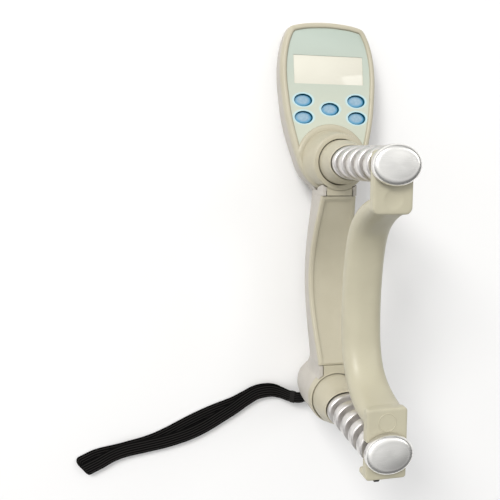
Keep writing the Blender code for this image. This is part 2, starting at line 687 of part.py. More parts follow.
def grip_handle():
    """The squeezed handle: a bowed arm between a fork and a hook plate."""
    pivot = (0, UPPER_Y, PLATE_BACK)
    line = smooth_curve([(0.0, LOWER_Y + along, SEAM_Z + out) for out, along in ARM], 2)
    rings = []
    for i, p in enumerate(line):
        along = (line[min(i + 1, len(line) - 1)] - line[max(i - 1, 0)]).normalized()
        over = Vector((1, 0, 0)).cross(along)
        mid = math.sin(math.pi * i / (len(line) - 1))
        ring = []
        for k in range(16):
            a = 2 * math.pi * k / 16
            x = (10.6 + 0.3 * mid) * math.copysign(abs(math.cos(a)) ** 0.75, math.cos(a))
            h = (5.2 + 2.6 * mid) * math.copysign(abs(math.sin(a)) ** 0.85, math.sin(a))
            ring.append(tuple(p + Vector((x, 0, 0)) + over * h))
        rings.append(ring)
    arm = loft("grip_handle", list(reversed(rings)), cream(), origin=pivot)
    upper = rounded_box(-PLATE_HALF, PLATE_HALF, UPPER_Y - 24.7, UPPER_Y + 7.5, 3.6)
    unite(arm, slab("add_fork_plate", upper, PLATE_BACK, PLATE_FRONT, cream(), edge=0.9))
    lower = rounded_box(-PLATE_HALF, PLATE_HALF, LOWER_Y - HOOK_REACH, LOWER_Y + 22.6, 1.8)
    unite(arm, slab("add_hook_plate", lower, PLATE_BACK, PLATE_FRONT, cream(), edge=0.9))
    jaw = rounded_box(-PLATE_HALF, PLATE_HALF, LOWER_Y - HOOK_REACH, LOWER_Y - 10.9, 1.6)
    unite(arm, slab("add_jaw", jaw, PLATE_BACK - 5.0, PLATE_BACK + 2.0, cream(), edge=0.6))
    cut(arm, fork_throat())
    cut(arm, hook_mouth())
    cut(arm, box("cut_clip_slot", (-6.6, LOWER_Y - 20, PLATE_BACK + 1.1),
                 (-2.4, LOWER_Y - 2, PLATE_BACK + 4.3), steel()))
    for k, y in enumerate((LOWER_Y + 15.3, UPPER_Y - 17.0)):
        ring = turned(f"add_moulded_ring_{k}", [(5.0, PLATE_FRONT - 1), (5.0, PLATE_FRONT + 0.12),
                                                (4.2, PLATE_FRONT + 0.12), (4.2, PLATE_FRONT - 0.9)],
                      cream(), y=y, steps=24)
        unite(arm, ring)


def fork_throat():
    """Open slot with a round bottom that stands over the upper post's neck."""
    outline = [(THROAT * math.cos(a), UPPER_Y + THROAT * math.sin(a))
               for a in [math.pi + math.pi * i / 16 for i in range(17)]]
    outline = outline + [(THROAT, UPPER_Y + 20), (-THROAT, UPPER_Y + 20)]
    return slab("cut_throat", outline, PLATE_BACK - 12, PLATE_FRONT + 5, steel())


def hook_mouth():
    """Slot that lets the lower post's neck out sideways as the handle swings about the upper post."""
    reach = 0.13
    inner = POST_SPACING - THROAT - 0.15
    outer = POST_SPACING + THROAT + 0.15
    arc = [-reach * i / 6 for i in range(7)]
    low = [(outer * math.sin(a), UPPER_Y - outer * math.cos(a)) for a in reversed(arc)]
    high = [(inner * math.sin(a), UPPER_Y - inner * math.cos(a)) for a in arc]
    nose = [((THROAT + 0.15) * math.cos(a), LOWER_Y + (THROAT + 0.15) * math.sin(a))
            for a in [-math.pi / 2 + math.pi * i / 12 for i in range(1, 12)]]
    return slab("cut_mouth", low + nose + high, PLATE_BACK - 12, PLATE_FRONT + 5, steel())


def handle_clip():
    low = LOWER_Y - HOOK_REACH - 1.4
    outline = rounded_box(-6.2, -2.8, low, LOWER_Y - 6.3, 0.8, 2)
    slab("handle_clip", outline, PLATE_BACK + 1.5, PLATE_BACK + 3.9, black_plastic(), edge=0.3,
         origin=(-4.5, low, PLATE_BACK + 2.7))


# ---------------------------------------------------------------- wrist strap

# Middle of the doubled strap, as (x, distance above the lower post's axis, z)
STRAP_ROUTE = [(-5.2, -9.0, 11.2), (-9.5, -9.1, 10.9), (-14.0, -9.6, 9.9), (-19.5, -10.2, 6.2),
               (-25, -9.5, 2.8), (-32, -7.6, 1.6), (-41, -8.3, 1.6), (-49, -11.9, 1.6), (-57, -16.2, 1.6),
               (-68, -21.3, 1.6), (-80, -26.8, 1.6), (-92, -31.6, 1.6), (-104, -35.5, 1.6),
               (-115, -38.0, 1.6), (-126, -39.9, 1.6), (-137, -42.5, 1.6), (-145, -45.2, 1.6),
               (-150.5, -47.6, 1.6)]


def wrist_strap():
    """Doubled webbing loop, laid flat beside the instrument."""
    line = smooth_curve([(x, LOWER_Y + y, z) for x, y, z in STRAP_ROUTE], 2)
    rings = []
    for i, p in enumerate(line):
        along = (line[min(i + 1, len(line) - 1)] - line[max(i - 1, 0)]).normalized()
        side = along.cross(Vector((0, 0, 1))).normalized()
        t = i / (len(line) - 1)
        half = 4.4 + 2.6 * math.exp(-((t - 0.59) / 0.14) ** 2)
        thick = Vector((0, 0, 1.2))
        rings.append([tuple(p + side * half - thick), tuple(p + side * half + thick),
                      tuple(p - side * half + thick), tuple(p - side * half - thick)])
    loft("wrist_strap", list(reversed(rings)), webbing())


def pin_body(name, radius, low, high):
    """Cylinder along Y at the strap pin's place."""
    turn = [2 * math.pi * k / 12 for k in range(12)]
    rings = [[(-3.2 + radius * math.cos(a), LOWER_Y + y, 11.2 + radius * math.sin(a)) for a in turn]
             for y in (high, low)]
    return loft(name, rings, steel())


def main():
    for obj in list(bpy.data.objects):
        bpy.data.objects.remove(obj, do_unlink=True)
    rear_housing()
    head_front_shell()
    label_overlay()
    spine_front_cover()
    lower_boss_cover()
    housing_screws()
    for name, y, radius in (("upper", UPPER_Y, UPPER_SEAM_R), ("lower", LOWER_Y, LOWER_SEAM_R)):
        post(name + "_post", y)
        collar(name + "_collar", y, radius)
        post_bolt(name + "_post_bolt", y)
    load_beam()
    strain_gauges()
    signal_cable()
    display()
    keys()
    power()
    grip_handle()
    handle_clip()
    wrist_strap()
    pin_body("strap_pin", STRAP_PIN_R, -15.2, -2.9)


main()
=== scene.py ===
"""Looks of the hand dynamometer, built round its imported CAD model.

Lengths are in millimetres here and become metres when a mesh is made.
"""
import math

import bmesh
import bpy
from mathutils import Matrix, Vector


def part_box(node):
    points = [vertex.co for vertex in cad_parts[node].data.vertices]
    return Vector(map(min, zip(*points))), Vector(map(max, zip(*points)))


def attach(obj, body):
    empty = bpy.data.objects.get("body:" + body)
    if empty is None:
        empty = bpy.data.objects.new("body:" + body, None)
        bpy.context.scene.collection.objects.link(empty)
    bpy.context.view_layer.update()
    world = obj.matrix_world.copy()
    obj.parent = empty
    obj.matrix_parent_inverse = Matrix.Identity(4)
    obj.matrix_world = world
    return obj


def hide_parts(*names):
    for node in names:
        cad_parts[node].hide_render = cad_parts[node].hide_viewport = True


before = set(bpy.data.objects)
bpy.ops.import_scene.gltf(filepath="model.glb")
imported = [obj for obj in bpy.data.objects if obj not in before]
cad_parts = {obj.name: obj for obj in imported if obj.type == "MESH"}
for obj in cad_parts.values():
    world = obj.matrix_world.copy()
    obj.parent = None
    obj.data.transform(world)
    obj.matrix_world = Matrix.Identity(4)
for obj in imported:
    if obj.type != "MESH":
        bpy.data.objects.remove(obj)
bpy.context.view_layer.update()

MM = 0.001


def low(node):
    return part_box(node)[0] / MM


def high(node):
    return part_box(node)[1] / MM


# Places read from the frame
UPPER_Y = (low("upper_post").y + high("upper_post").y) / 2
LOWER_Y = (low("lower_post").y + high("lower_post").y) / 2
SEAM_Z = high("lower_boss_cover").z
TIP_Z = high("upper_post").z
FOOT_R = high("lower_boss_cover").x
TOP_Y = high("head_front_shell").y
POST_SPACING = UPPER_Y - LOWER_Y
PLATE_FRONT = TIP_Z - 6.3
PLATE_BACK = PLATE_FRONT - 5.35

# Housing, as in the CAD model
GAP = 0.3
RING_GAP = 0.25               # opens the joint round each collar a little more
WALL = 2.2
BACK_WALL = 4.1
SHELL_DEPTH = 5.0
FACE_AT = 40.0
FACE_Z = 22.9
FACE_SLOPE = 0.185
NECK_HALF = 10.8
PALM_HALF = 13.7
NECK_LOW = 22.0
NECK_HIGH = POST_SPACING - 20.0
COVER_DEPTH = 3.0
FOOT_PARTING = 40.0
FOOT_DOME = 12.0
TOP_EDGE = 3.5
CAP_REACH = 20.3
NECK_START = 12.3
BOSS_REACH = 16.6
WALL_TOP = 45.4
TONGUE_HALF = 8.0
TONGUE_BACK = 42.0
FLAT_TRIM = 0.8
HEAD_HALF = [(0, 87.6), (12, 86.9), (19, 85.7), (23.8, 83.9), (26.6, 79.4), (28.9, 72.7), (30.6, 63),
             (31, 52), (30.2, 41), (28.9, 29.5), (27.2, 20.5), (25, 11), (22.6, 2), (19.6, -6),
             (14.6, -12.8), (8, -17.2), (0, -19)]
WINDOW_HALF = 22.8
WINDOW_LOW = 48.4
WINDOW_HIGH = 66.4
KEYS = {
    "key_upper_left": (-17.4, 38.1),
    "key_upper_right": (17.4, 38.1),
    "key_lower_left": (-17.4, 27.4),
    "key_lower_right": (17.4, 27.4),
    "key_centre": (0.0, 32.8),
}
KEY_HALF_X = 5.6
KEY_HALF_Y = 3.7
UPPER_SEAM_R = 13.6
LOWER_SEAM_R = 15.25


# ---- camera and light

def camera():
    """The photograph's viewing angle: from the lower left, above the instrument on its back."""
    data = bpy.data.cameras.new("camera")
    cam = bpy.data.objects.new("camera", data)
    bpy.context.scene.collection.objects.link(cam)
    yaw, pitch, roll = (math.radians(a) for a in (14.119, 5.698, 0.684))
    ahead = Vector((math.sin(yaw) * math.cos(pitch), -math.sin(pitch), -math.cos(yaw) * math.cos(pitch)))
    right = Vector((math.cos(yaw), 0, math.sin(yaw)))
    up = right.cross(ahead)
    side = right * math.cos(roll) + up * math.sin(roll)
    over = up * math.cos(roll) - right * math.sin(roll)
    turn = Matrix((side, over, -ahead)).transposed().to_4x4()
    place = Vector((-137.8, LOWER_Y + 151.5, SEAM_Z + 400.0)) * MM
    cam.matrix_world = Matrix.Translation(place) @ turn
    data.sensor_width = 36.0
    data.lens = 50.29
    data.shift_x = -0.0601
    data.shift_y = -0.0563
    bpy.context.scene.camera = cam


def area_light(name, place, aim, size, power, colour=(1, 1, 1)):
    data = bpy.data.lights.new(name, "AREA")
    data.shape = "RECTANGLE"
    data.size, data.size_y = size
    data.energy = power
    data.color = colour
    lamp = bpy.data.objects.new(name, data)
    lamp.location = Vector(place)
    lamp.rotation_mode = "QUATERNION"
    lamp.rotation_quaternion = (Vector(aim) - Vector(place)).to_track_quat("-Z", "Y")
    bpy.context.scene.collection.objects.link(lamp)


def studio():
    world = bpy.data.worlds.new("studio")
    bpy.context.scene.world = world
    world.use_nodes = True
    tree = world.node_tree
    background = tree.nodes["Background"]
    background.inputs["Color"].default_value = (1.0, 1.0, 1.0, 1)
    aim = tree.nodes.new("ShaderNodeTexCoord")
    facing = tree.nodes.new("ShaderNodeVectorMath")
    facing.operation = "DOT_PRODUCT"
    facing.inputs[1].default_value = (-0.25, 0.3, 0.92)
    tree.links.new(aim.outputs["Generated"], facing.inputs[0])
    soft = tree.nodes.new("ShaderNodeMapRange")
    soft.interpolation_type = "SMOOTHSTEP"
    for socket, value in (("From Min", 0.1), ("From Max", 0.95), ("To Min", 0.16), ("To Max", 0.92)):
        soft.inputs[socket].default_value = value
    tree.links.new(facing.outputs["Value"], soft.inputs["Value"])
    tree.links.new(soft.outputs["Result"], background.inputs["Strength"])
    bpy.context.scene.view_settings.view_transform = "Standard"
    area_light("key", (-1.3, 1.5, 2.0), (0, 0, 0.05), (0.9, 0.9), 44.0, (1.0, 0.985, 0.96))
    area_light("left_fill", (-2.2, 0.2, 0.8), (0, 0, 0.06), (1.2, 1.6), 3.0, (0.94, 0.94, 1.0))
    area_light("right_fill", (2.2, 0.9, 1.8), (0, 0, 0.05), (1.2, 1.2), 11.0, (1.0, 0.99, 0.97))


def floor():
    mesh = bpy.data.meshes.new("floor")
    reach = 3.0
    mesh.from_pydata([(-reach, -reach, 0), (reach, -reach, 0), (reach, reach, 0), (-reach, reach, 0)], [],
                     [(0, 1, 2, 3)])
    obj = bpy.data.objects.new("floor", mesh)
    bpy.context.scene.collection.objects.link(obj)
    m = Paint("pale_floor", (0.93, 0.93, 0.93), 0.6)
    mesh.materials.append(m.mat)


# ---- materials

RIBS = 5                      # lengthwise ribs of the webbing
RIB_FLAT = 3.95               # half the ribbed width


class Paint:
    """A Principled material with short helpers for its nodes, placed by the object's millimetres."""

    def __init__(self, name, colour, roughness, metallic=0.0, **sockets):
        self.mat = bpy.data.materials.new(name)
        self.mat.use_nodes = True
        self.tree = self.mat.node_tree
        self.shader = self.tree.nodes["Principled BSDF"]
        self.set("Base Color", (*colour, 1.0))
        self.set("Roughness", roughness)
        self.set("Metallic", metallic)
        for socket, value in sockets.items():
            self.set(socket.replace("_", " "), value)
        coords = self.tree.nodes.new("ShaderNodeTexCoord")
        scaled = self.node("ShaderNodeVectorMath", operation="SCALE")
        self.link(coords.outputs["Object"], scaled.inputs[0])
        scaled.inputs["Scale"].default_value = 1 / MM
        self.place = scaled.outputs[0]

    def set(self, socket, value):
        self.shader.inputs[socket].default_value = value

    def node(self, kind, **settings):
        made = self.tree.nodes.new(kind)
        for key, value in settings.items():
            setattr(made, key, value)
        return made

    def link(self, source, target):
        self.tree.links.new(source, target)

    def stretched(self, factors):
        """The place, scaled differently along each axis."""
        made = self.node("ShaderNodeVectorMath", operation="MULTIPLY")
        self.link(self.place, made.inputs[0])
        made.inputs[1].default_value = factors
        return made.outputs[0]

    def noise(self, size, detail=3.0, place=None):
        """Noise with features of the given size in millimetres."""
        made = self.node("ShaderNodeTexNoise")
        made.inputs["Scale"].default_value = 1.0 / size
        made.inputs["Detail"].default_value = detail
        self.link(place or self.place, made.inputs["Vector"])
        return made.outputs["Fac"]

    def ramp(self, factor, low_in, high_in, low_out, high_out, smooth=False):
        made = self.node("ShaderNodeMapRange")
        if smooth:
            made.interpolation_type = "SMOOTHSTEP"
        names = ("From Min", "From Max", "To Min", "To Max")
        for socket, value in zip(names, (low_in, high_in, low_out, high_out)):
            made.inputs[socket].default_value = value
        self.link(factor, made.inputs["Value"])
        return made.outputs["Result"]

    def mix(self, factor, a, b):
        """Blend two colours, each a tuple or a socket."""
        made = self.node("ShaderNodeMix", data_type="RGBA")
        self.link(factor, made.inputs["Factor"])
        for socket, value in ((made.inputs[6], a), (made.inputs[7], b)):
            if isinstance(value, tuple):
                socket.default_value = (*value, 1.0)
            else:
                self.link(value, socket)
        return made.outputs[2]

    def maths(self, operation, a, b):
        made = self.node("ShaderNodeMath", operation=operation)
        for socket, value in ((made.inputs[0], a), (made.inputs[1], b)):
            if isinstance(value, (int, float)):
                socket.default_value = value
            else:
                self.link(value, socket)
        return made.outputs[0]

    def axis(self, which):
        made = self.node("ShaderNodeSeparateXYZ")
        self.link(self.place, made.inputs[0])
        return made.outputs[which]

    def near_keys(self, inner, outer):
        """1 in the middle of each key, fading to 0 between two shares of its radius."""
        found = None
        for x, up in KEYS.values():
            near = self.node("ShaderNodeVectorMath", operation="SUBTRACT")
            self.link(self.place, near.inputs[0])
            near.inputs[1].default_value = (x, UPPER_Y + up, 0)
            flat = self.node("ShaderNodeVectorMath", operation="MULTIPLY")
            self.link(near.outputs[0], flat.inputs[0])
            flat.inputs[1].default_value = (1 / KEY_HALF_X, 1 / KEY_HALF_Y, 0)
            span = self.node("ShaderNodeVectorMath", operation="LENGTH")
            self.link(flat.outputs[0], span.inputs[0])
            here = self.ramp(span.outputs["Value"], inner, outer, 1.0, 0.0, smooth=True)
            found = here if found is None else self.maths("MAXIMUM", found, here)
        return found

    def colour(self, source):
        self.link(source, self.shader.inputs["Base Color"])

    def rough(self, source):
        self.link(source, self.shader.inputs["Roughness"])

    def bump(self, source, height):
        """Relief of the given height in millimetres."""
        made = self.node("ShaderNodeBump")
        made.inputs["Strength"].default_value = 1.0
        made.inputs["Distance"].default_value = height * MM
        self.link(source, made.inputs["Height"])
        self.link(made.outputs["Normal"], self.shader.inputs["Normal"])


def moulded(name, colour, shade, roughness=0.42):
    """Moulded plastic: a faint cloud of tone, a fine spark-eroded grain and handling gloss."""
    p = Paint(name, colour, roughness, Specular_IOR_Level=0.42)
    cloud = p.ramp(p.noise(16.0, 2.0), 0.35, 0.65, 0.0, 1.0)
    specks = p.ramp(p.noise(0.7, 2.0), 0.58, 0.75, 0.0, 0.18)
    p.colour(p.mix(specks, p.mix(cloud, colour, shade), tuple(c * 0.82 for c in shade)))
    p.rough(p.ramp(p.noise(9.0, 3.0), 0.3, 0.7, roughness - 0.06, roughness + 0.08))
    p.bump(p.noise(0.28, 2.0), 0.012)
    return p.mat


def cream():
    return moulded("cream_plastic", (0.515, 0.48, 0.37), (0.49, 0.455, 0.345))


def grey_cream():
    # Greyer cream for the rear housing: partly the shell's own tone, partly the cool light on its side wall
    # painted into the colour.
    return moulded("grey_cream_plastic", (0.515, 0.487, 0.44), (0.49, 0.462, 0.415), 0.5)


def olive_cream():
    return moulded("handle_plastic", (0.505, 0.475, 0.355), (0.48, 0.45, 0.335), 0.38)


def label_film():
    """Printed label: a green-grey ground, warmer towards the keys, with a pale ring round each key."""
    p = Paint("label_film", (0.6, 0.65, 0.58), 0.36, Coat_Weight=0.25, Coat_Roughness=0.25)
    warm = p.ramp(p.axis(1), UPPER_Y + 20, UPPER_Y + 84, 0.0, 1.0, smooth=True)
    ground = p.mix(warm, (0.56, 0.59, 0.49), (0.46, 0.53, 0.47))
    grain = p.ramp(p.noise(0.35, 2.0), 0.3, 0.7, 0.0, 0.12)
    ground = p.mix(grain, ground, (0.46, 0.52, 0.45))
    p.colour(p.mix(p.near_keys(1.12, 1.42), ground, (0.50, 0.70, 0.74)))
    p.rough(p.ramp(p.noise(5.0, 2.0), 0.3, 0.7, 0.3, 0.42))
    p.bump(p.noise(0.3, 2.0), 0.006)
    return p.mat


def lens_plastic():
    """Blank display behind its window: an even ivory with a gloss surface."""
    p = Paint("display_lens", (0.85, 0.83, 0.70), 0.14, Coat_Weight=0.6, Coat_Roughness=0.05)
    tone = p.ramp(p.noise(22.0, 1.0), 0.3, 0.7, 0.0, 1.0)
    p.colour(p.mix(tone, (0.74, 0.72, 0.62), (0.72, 0.70, 0.60)))
    p.rough(p.ramp(p.noise(7.0, 2.0), 0.3, 0.7, 0.12, 0.2))
    return p.mat


def key_rubber():
    """Printed blue keys, paler in the middle of each than at its rim."""
    p = Paint("key_rubber", (0.3, 0.5, 0.7), 0.34, Coat_Weight=0.3, Coat_Roughness=0.2)
    mottled = p.ramp(p.noise(1.4, 3.0), 0.35, 0.65, 0.0, 1.0)
    body = p.mix(mottled, (0.25, 0.40, 0.52), (0.31, 0.46, 0.57))
    p.colour(p.mix(p.near_keys(0.45, 1.0), (0.10, 0.36, 0.58), body))
    p.bump(p.noise(0.4, 2.0), 0.01)
    return p.mat


def mottled(name, roughness, metallic, size, a, b):
    """Two close tones in an even mottle."""
    p = Paint(name, a, roughness, metallic)
    p.colour(p.mix(p.noise(size, 2.0), a, b))
    return p


def well_shade_paint():
    # Teal walls of the key wells, with the shade inside each recess painted into their dark colour.
    p = Paint("key_well", (0.0, 0.12, 0.2), 0.45)
    p.colour(p.mix(p.ramp(p.noise(1.0, 2.0), 0.3, 0.7, 0.0, 1.0), (0.0, 0.10, 0.16), (0.01, 0.16, 0.24)))
    return p.mat


def turned_metal():
    """Machined aluminium: tool marks round the post, with a satin break-up."""
    p = Paint("turned_aluminium", (0.83, 0.82, 0.80), 0.26, 1.0)
    marks = p.noise(1.0, 4.0, p.stretched((0.12, 0.12, 9.0)))
    p.rough(p.ramp(marks, 0.3, 0.7, 0.27, 0.46))
    blotch = p.ramp(p.noise(3.0, 3.0), 0.3, 0.7, 0.0, 1.0)
    p.colour(p.mix(blotch, (0.78, 0.76, 0.74), (0.66, 0.64, 0.625)))
    p.bump(marks, 0.02)
    return p.mat


def brushed_metal():
    """Brushed end of a post: long fine scratches across it."""
    p = Paint("brushed_aluminium", (0.86, 0.85, 0.82), 0.3, 1.0, Anisotropic=0.5)
    scratch = p.noise(1.0, 5.0, p.stretched((0.05, 5.0, 1.0)))
    fine = p.noise(1.0, 3.0, p.stretched((0.2, 14.0, 1.0)))
    p.rough(p.ramp(scratch, 0.3, 0.7, 0.24, 0.42))
    p.colour(p.mix(p.ramp(scratch, 0.35, 0.65, 0.0, 1.0), (0.95, 0.94, 0.91), (0.87, 0.86, 0.83)))
    p.bump(fine, 0.012)
    return p.mat


def plated_steel():
    p = mottled("plated_steel", 0.3, 1.0, 2.0, (0.62, 0.61, 0.6), (0.52, 0.52, 0.53))
    p.rough(p.ramp(p.noise(0.8, 3.0), 0.3, 0.7, 0.22, 0.45))
    return p.mat


def black_nylon():
    p = mottled("black_nylon", 0.45, 0.0, 1.5, (0.018, 0.018, 0.018), (0.03, 0.03, 0.03))
    p.bump(p.noise(0.3, 2.0), 0.02)
    return p.mat


def board_resist():
    return mottled("board_resist", 0.4, 0.0, 2.0, (0.02, 0.16, 0.06), (0.05, 0.26, 0.1)).mat


def battery_sleeve():
    p = Paint("battery_sleeve", (0.08, 0.09, 0.3), 0.35)
    band = p.ramp(p.axis(1), UPPER_Y + 38, UPPER_Y + 39, 0, 1)
    p.colour(p.mix(band, (0.03, 0.035, 0.06), (0.5, 0.5, 0.48)))
    return p.mat


def foil():
    return mottled("gauge_foil", 0.4, 0.6, 0.6, (0.72, 0.42, 0.16), (0.6, 0.34, 0.12)).mat


def webbing():
    """Black woven nylon: picks across the width, with a painted highlight along the crowns of the ribs and
    painted shade in the valleys between them.
    """
    p = Paint("black_webbing", (0.016, 0.015, 0.015), 0.8, Specular_IOR_Level=0.05)
    uv = p.node("ShaderNodeUVMap")
    uv.uv_map = "weave"
    split = p.node("ShaderNodeSeparateXYZ")
    p.link(uv.outputs[0], split.inputs[0])
    across, along = split.outputs[0], split.outputs[1]
    rib = p.maths("PINGPONG", p.maths("ADD", across, RIB_FLAT), RIB_FLAT / RIBS)
    # crown: painted highlight on the top of each rib, fading to painted shade in the valleys
    crown = p.ramp(rib, 0.3 * RIB_FLAT / RIBS, RIB_FLAT / RIBS, 0.0, 1.0, smooth=True)
    thread = p.maths("SINE", p.maths("MULTIPLY", p.maths("ADD", along, rib), 2 * math.pi / 0.8), 0.0)
    fuzz = p.noise(0.25, 3.0)
    height = p.maths("ADD", p.maths("MULTIPLY", thread, 0.3), fuzz)
    tone = p.maths("MULTIPLY", crown, p.ramp(height, 0.1, 1.0, 0.8, 1.0))
    # painted shade in the valleys, painted highlight on the crowns of the ribs
    p.colour(p.mix(tone, (0.0005, 0.0005, 0.0005), (0.032, 0.030, 0.029)))
    p.rough(p.ramp(fuzz, 0.3, 0.7, 0.65, 0.9))
    p.bump(height, 0.05)
    return p.mat


# ---- mesh tools

def make(name, points, faces, mat, sharp=38.0):
    mesh = bpy.data.meshes.new(name)
    mesh.from_pydata([Vector(p) * MM for p in points], [], faces)
    mesh.shade_smooth()
    mesh.set_sharp_from_angle(angle=math.radians(sharp))
    mesh.materials.append(mat)
    obj = bpy.data.objects.new(name, mesh)
    bpy.context.scene.collection.objects.link(obj)
    return obj


def loft(name, rings, mat, sharp=38.0, closed=False):
    """Skin closed rings of equal length; cap both ends, or join the last ring to the first."""
    count = len(rings[0])
    points = [p for ring in rings for p in ring]
    spans = len(rings) if closed else len(rings) - 1
    faces = []
    for k in range(spans):
        a, b = k * count, (k + 1) % len(rings) * count
        for i in range(count):
            j = (i + 1) % count
            faces.append((a + i, a + j, b + j, b + i))
    if not closed:
        faces.append(tuple(reversed(range(count))))
        faces.append(tuple(range(len(points) - count, len(points))))
    return make(name, points, faces, mat, sharp)


def arc_turn(steps, start=0.0, sweep=2 * math.pi, ends=False):
    return [start + sweep * i / steps for i in range(steps + (1 if ends else 0))]


def oval(half_x, half_y, z, y=0.0, x=0.0, steps=96):
    return [(x + half_x * math.cos(a), y + half_y * math.sin(a), z) for a in arc_turn(steps)]


def signed_power(value, power):
    return math.copysign(abs(value) ** power, value)


def turned(name, profile, mat, y=0.0, x=0.0, steps=96, sharp=38.0):
    return loft(name, [oval(r, r, z, y, x, steps) for r, z in profile], mat, sharp)


def rounded_box(x0, x1, y0, y1, radius, steps=8):
    outline = []
    for cx, cy, start in ((x1 - radius, y0 + radius, -90), (x1 - radius, y1 - radius, 0),
                          (x0 + radius, y1 - radius, 90), (x0 + radius, y0 + radius, 180)):
        for a in arc_turn(steps, math.radians(start), math.pi / 2, ends=True):
            outline.append((cx + radius * math.cos(a), cy + radius * math.sin(a)))
    return outline


def inset(outline, distance):
    moved = []
    for i, (x, y) in enumerate(outline):
        ax, ay = outline[i - 1]
        bx, by = outline[(i + 1) % len(outline)]
        run = math.hypot(bx - ax, by - ay)
        moved.append((x - (by - ay) / run * distance, y + (bx - ax) / run * distance))
    return moved


def smooth_curve(points, per_span, closed=False):
    count = len(points)
    out = []
    for k in range(count if closed else count - 1):
        if closed:
            p = [Vector(points[(k + d) % count]) for d in (-1, 0, 1, 2)]
        else:
            p = [Vector(points[min(max(k + d, 0), count - 1)]) for d in (-1, 0, 1, 2)]
        for i in range(per_span):
            t = i / per_span
            curve = 2 * p[1] + (p[2] - p[0]) * t + (2 * p[0] - 5 * p[1] + 4 * p[2] - p[3]) * t * t
            out.append((curve + (3 * p[1] - p[0] - 3 * p[2] + p[3]) * t * t * t) / 2)
    if not closed:
        out.append(Vector(points[-1]))
    return out


def combine(obj, tools, operation):
    """Boolean the tools into the object, apply it and remove them."""
    for tool in tools:
        mod = obj.modifiers.new("join", "BOOLEAN")
        mod.operation = operation
        mod.solver = "EXACT"
        mod.object = tool
    bpy.context.view_layer.update()
    view = bpy.context.evaluated_depsgraph_get()
    mesh = bpy.data.meshes.new_from_object(obj.evaluated_get(view))
    obj.modifiers.clear()
    obj.data = mesh
    for tool in tools:
        bpy.data.objects.remove(tool)
    mesh.shade_smooth()
    mesh.set_sharp_from_angle(angle=math.radians(38))
    return obj


def cut(obj, *tools):
    return combine(obj, tools, "DIFFERENCE")


def unite(obj, *tools):
    return combine(obj, tools, "UNION")


def in_plan(x, y, z):
    return (x, y, z)


def raised(name, outline, levels, mat, place=in_plan):
    """An outline lofted through (inset, height) levels, each point put where place() says."""
    rings = [[place(x, y, h) for x, y in (inset(outline, d) if d else outline)] for d, h in levels]
    return loft(name, rings, mat)


def prism(name, outline, z0, z1, mat):
    return raised(name, outline, [(0, z0), (0, z1)], mat)


def box(name, corner0, corner1, mat):
    outline = [(corner0[0], corner0[1]), (corner1[0], corner0[1]), (corner1[0], corner1[1]),
               (corner0[0], corner1[1])]
    return prism(name, outline, corner0[2], corner1[2], mat)


# ---- shape rules

def blend(a, b, t):
    t = min(max(t, 0.0), 1.0)
    return a + (b - a) * t * t * (3 - 2 * t)


def edge_curve(past, run):
    t = min(max(past / run, 0.0), 1.0)
    return 1 - math.sqrt(1 - t * t)


def face_z(y):
    return FACE_Z - FACE_SLOPE * (y - UPPER_Y - FACE_AT)


def on_face(x, up, height):
    """A point square to the face: across, above the upper post's axis, and out of the face."""
    lean = math.atan(FACE_SLOPE)
    run = (up - FACE_AT) / math.cos(lean)
    y = UPPER_Y + FACE_AT + run * math.cos(lean) + height * math.sin(lean)
    return (x, y, FACE_Z - run * math.sin(lean) + height * math.cos(lean))


def above_face(x, y, height):
    """A point at a place in plan, lifted off the leaning face."""
    return (x, y, face_z(y) + height)


def head_outline(per_span=8):
    right = [(x, UPPER_Y + y) for x, y in reversed(HEAD_HALF)]
    left = [(-x, y) for x, y in reversed(right[1:-1])]
    return [tuple(p) for p in smooth_curve(right + left, per_span, closed=True)]


HEAD_SIDE = sorted((y, x) for x, y in head_outline() if x >= -1e-6)


def head_half(y):
    for (y0, x0), (y1, x1) in zip(HEAD_SIDE, HEAD_SIDE[1:]):
        if y0 <= y <= y1:
            return x0 + (x1 - x0) * (y - y0) / max(y1 - y0, 1e-6)
    return 0.0


def bow(y):
    t = (y - LOWER_Y - NECK_LOW) / (NECK_HIGH - NECK_LOW)
    return math.sin(math.pi * min(max(t, 0.0), 1.0))


def spine_half(y):
    return NECK_HALF + (PALM_HALF - NECK_HALF) * bow(y)


def spine_front(y):
    return SEAM_Z - 1.5 - 14.0 * bow(y) ** 1.2


def soft_max(a, b, reach):
    h = max(reach - abs(a - b), 0.0) / reach
    return max(a, b) + h * h * reach / 4


def half_width(y):
    down = y - LOWER_Y
    foot = math.sqrt(max(FOOT_R ** 2 - down ** 2, 0.0)) if abs(down) < FOOT_R else 0.0
    spine = spine_half(y) if 0 < down < POST_SPACING else 0.0
    wide = max(foot, head_half(y), 0.4)
    at_head, at_foot = -26 < y - UPPER_Y < 0, 9 < down < 24
    return soft_max(wide, spine, 2.4) if at_foot or (spine and at_head) else max(wide, spine)


def back_z(y):
    down = y - LOWER_Y
    spine = 12.0 - 2.5 * bow(y)
    foot = blend(0.0, spine, (down - 4.0) / 18.0)
    rise = FOOT_DOME * edge_curve(-down, FOOT_R)
    rise = rise + TOP_EDGE * edge_curve(y - (TOP_Y - 6.0), 6.0)
    return blend(foot, 0.0, (down - (POST_SPACING - 24.0)) / 16.0) + rise


def parting_z(y):
    down = y - LOWER_Y
    for end, level in ((NECK_START, FOOT_PARTING), (CAP_REACH, WALL_TOP),
                       (POST_SPACING - CAP_REACH, spine_front(y) - COVER_DEPTH),
                       (POST_SPACING - BOSS_REACH - 0.8, WALL_TOP)):
        if down < end:
            return level
    return face_z(y) - SHELL_DEPTH


def squareness(y):
    foot = blend(3.8, 3.2, (y - LOWER_Y - 4.0) / 18.0)
    return blend(foot, 5.0, (y - UPPER_Y) / 25.0)


# ---- rear housing

RIM_ROUND = 0.35


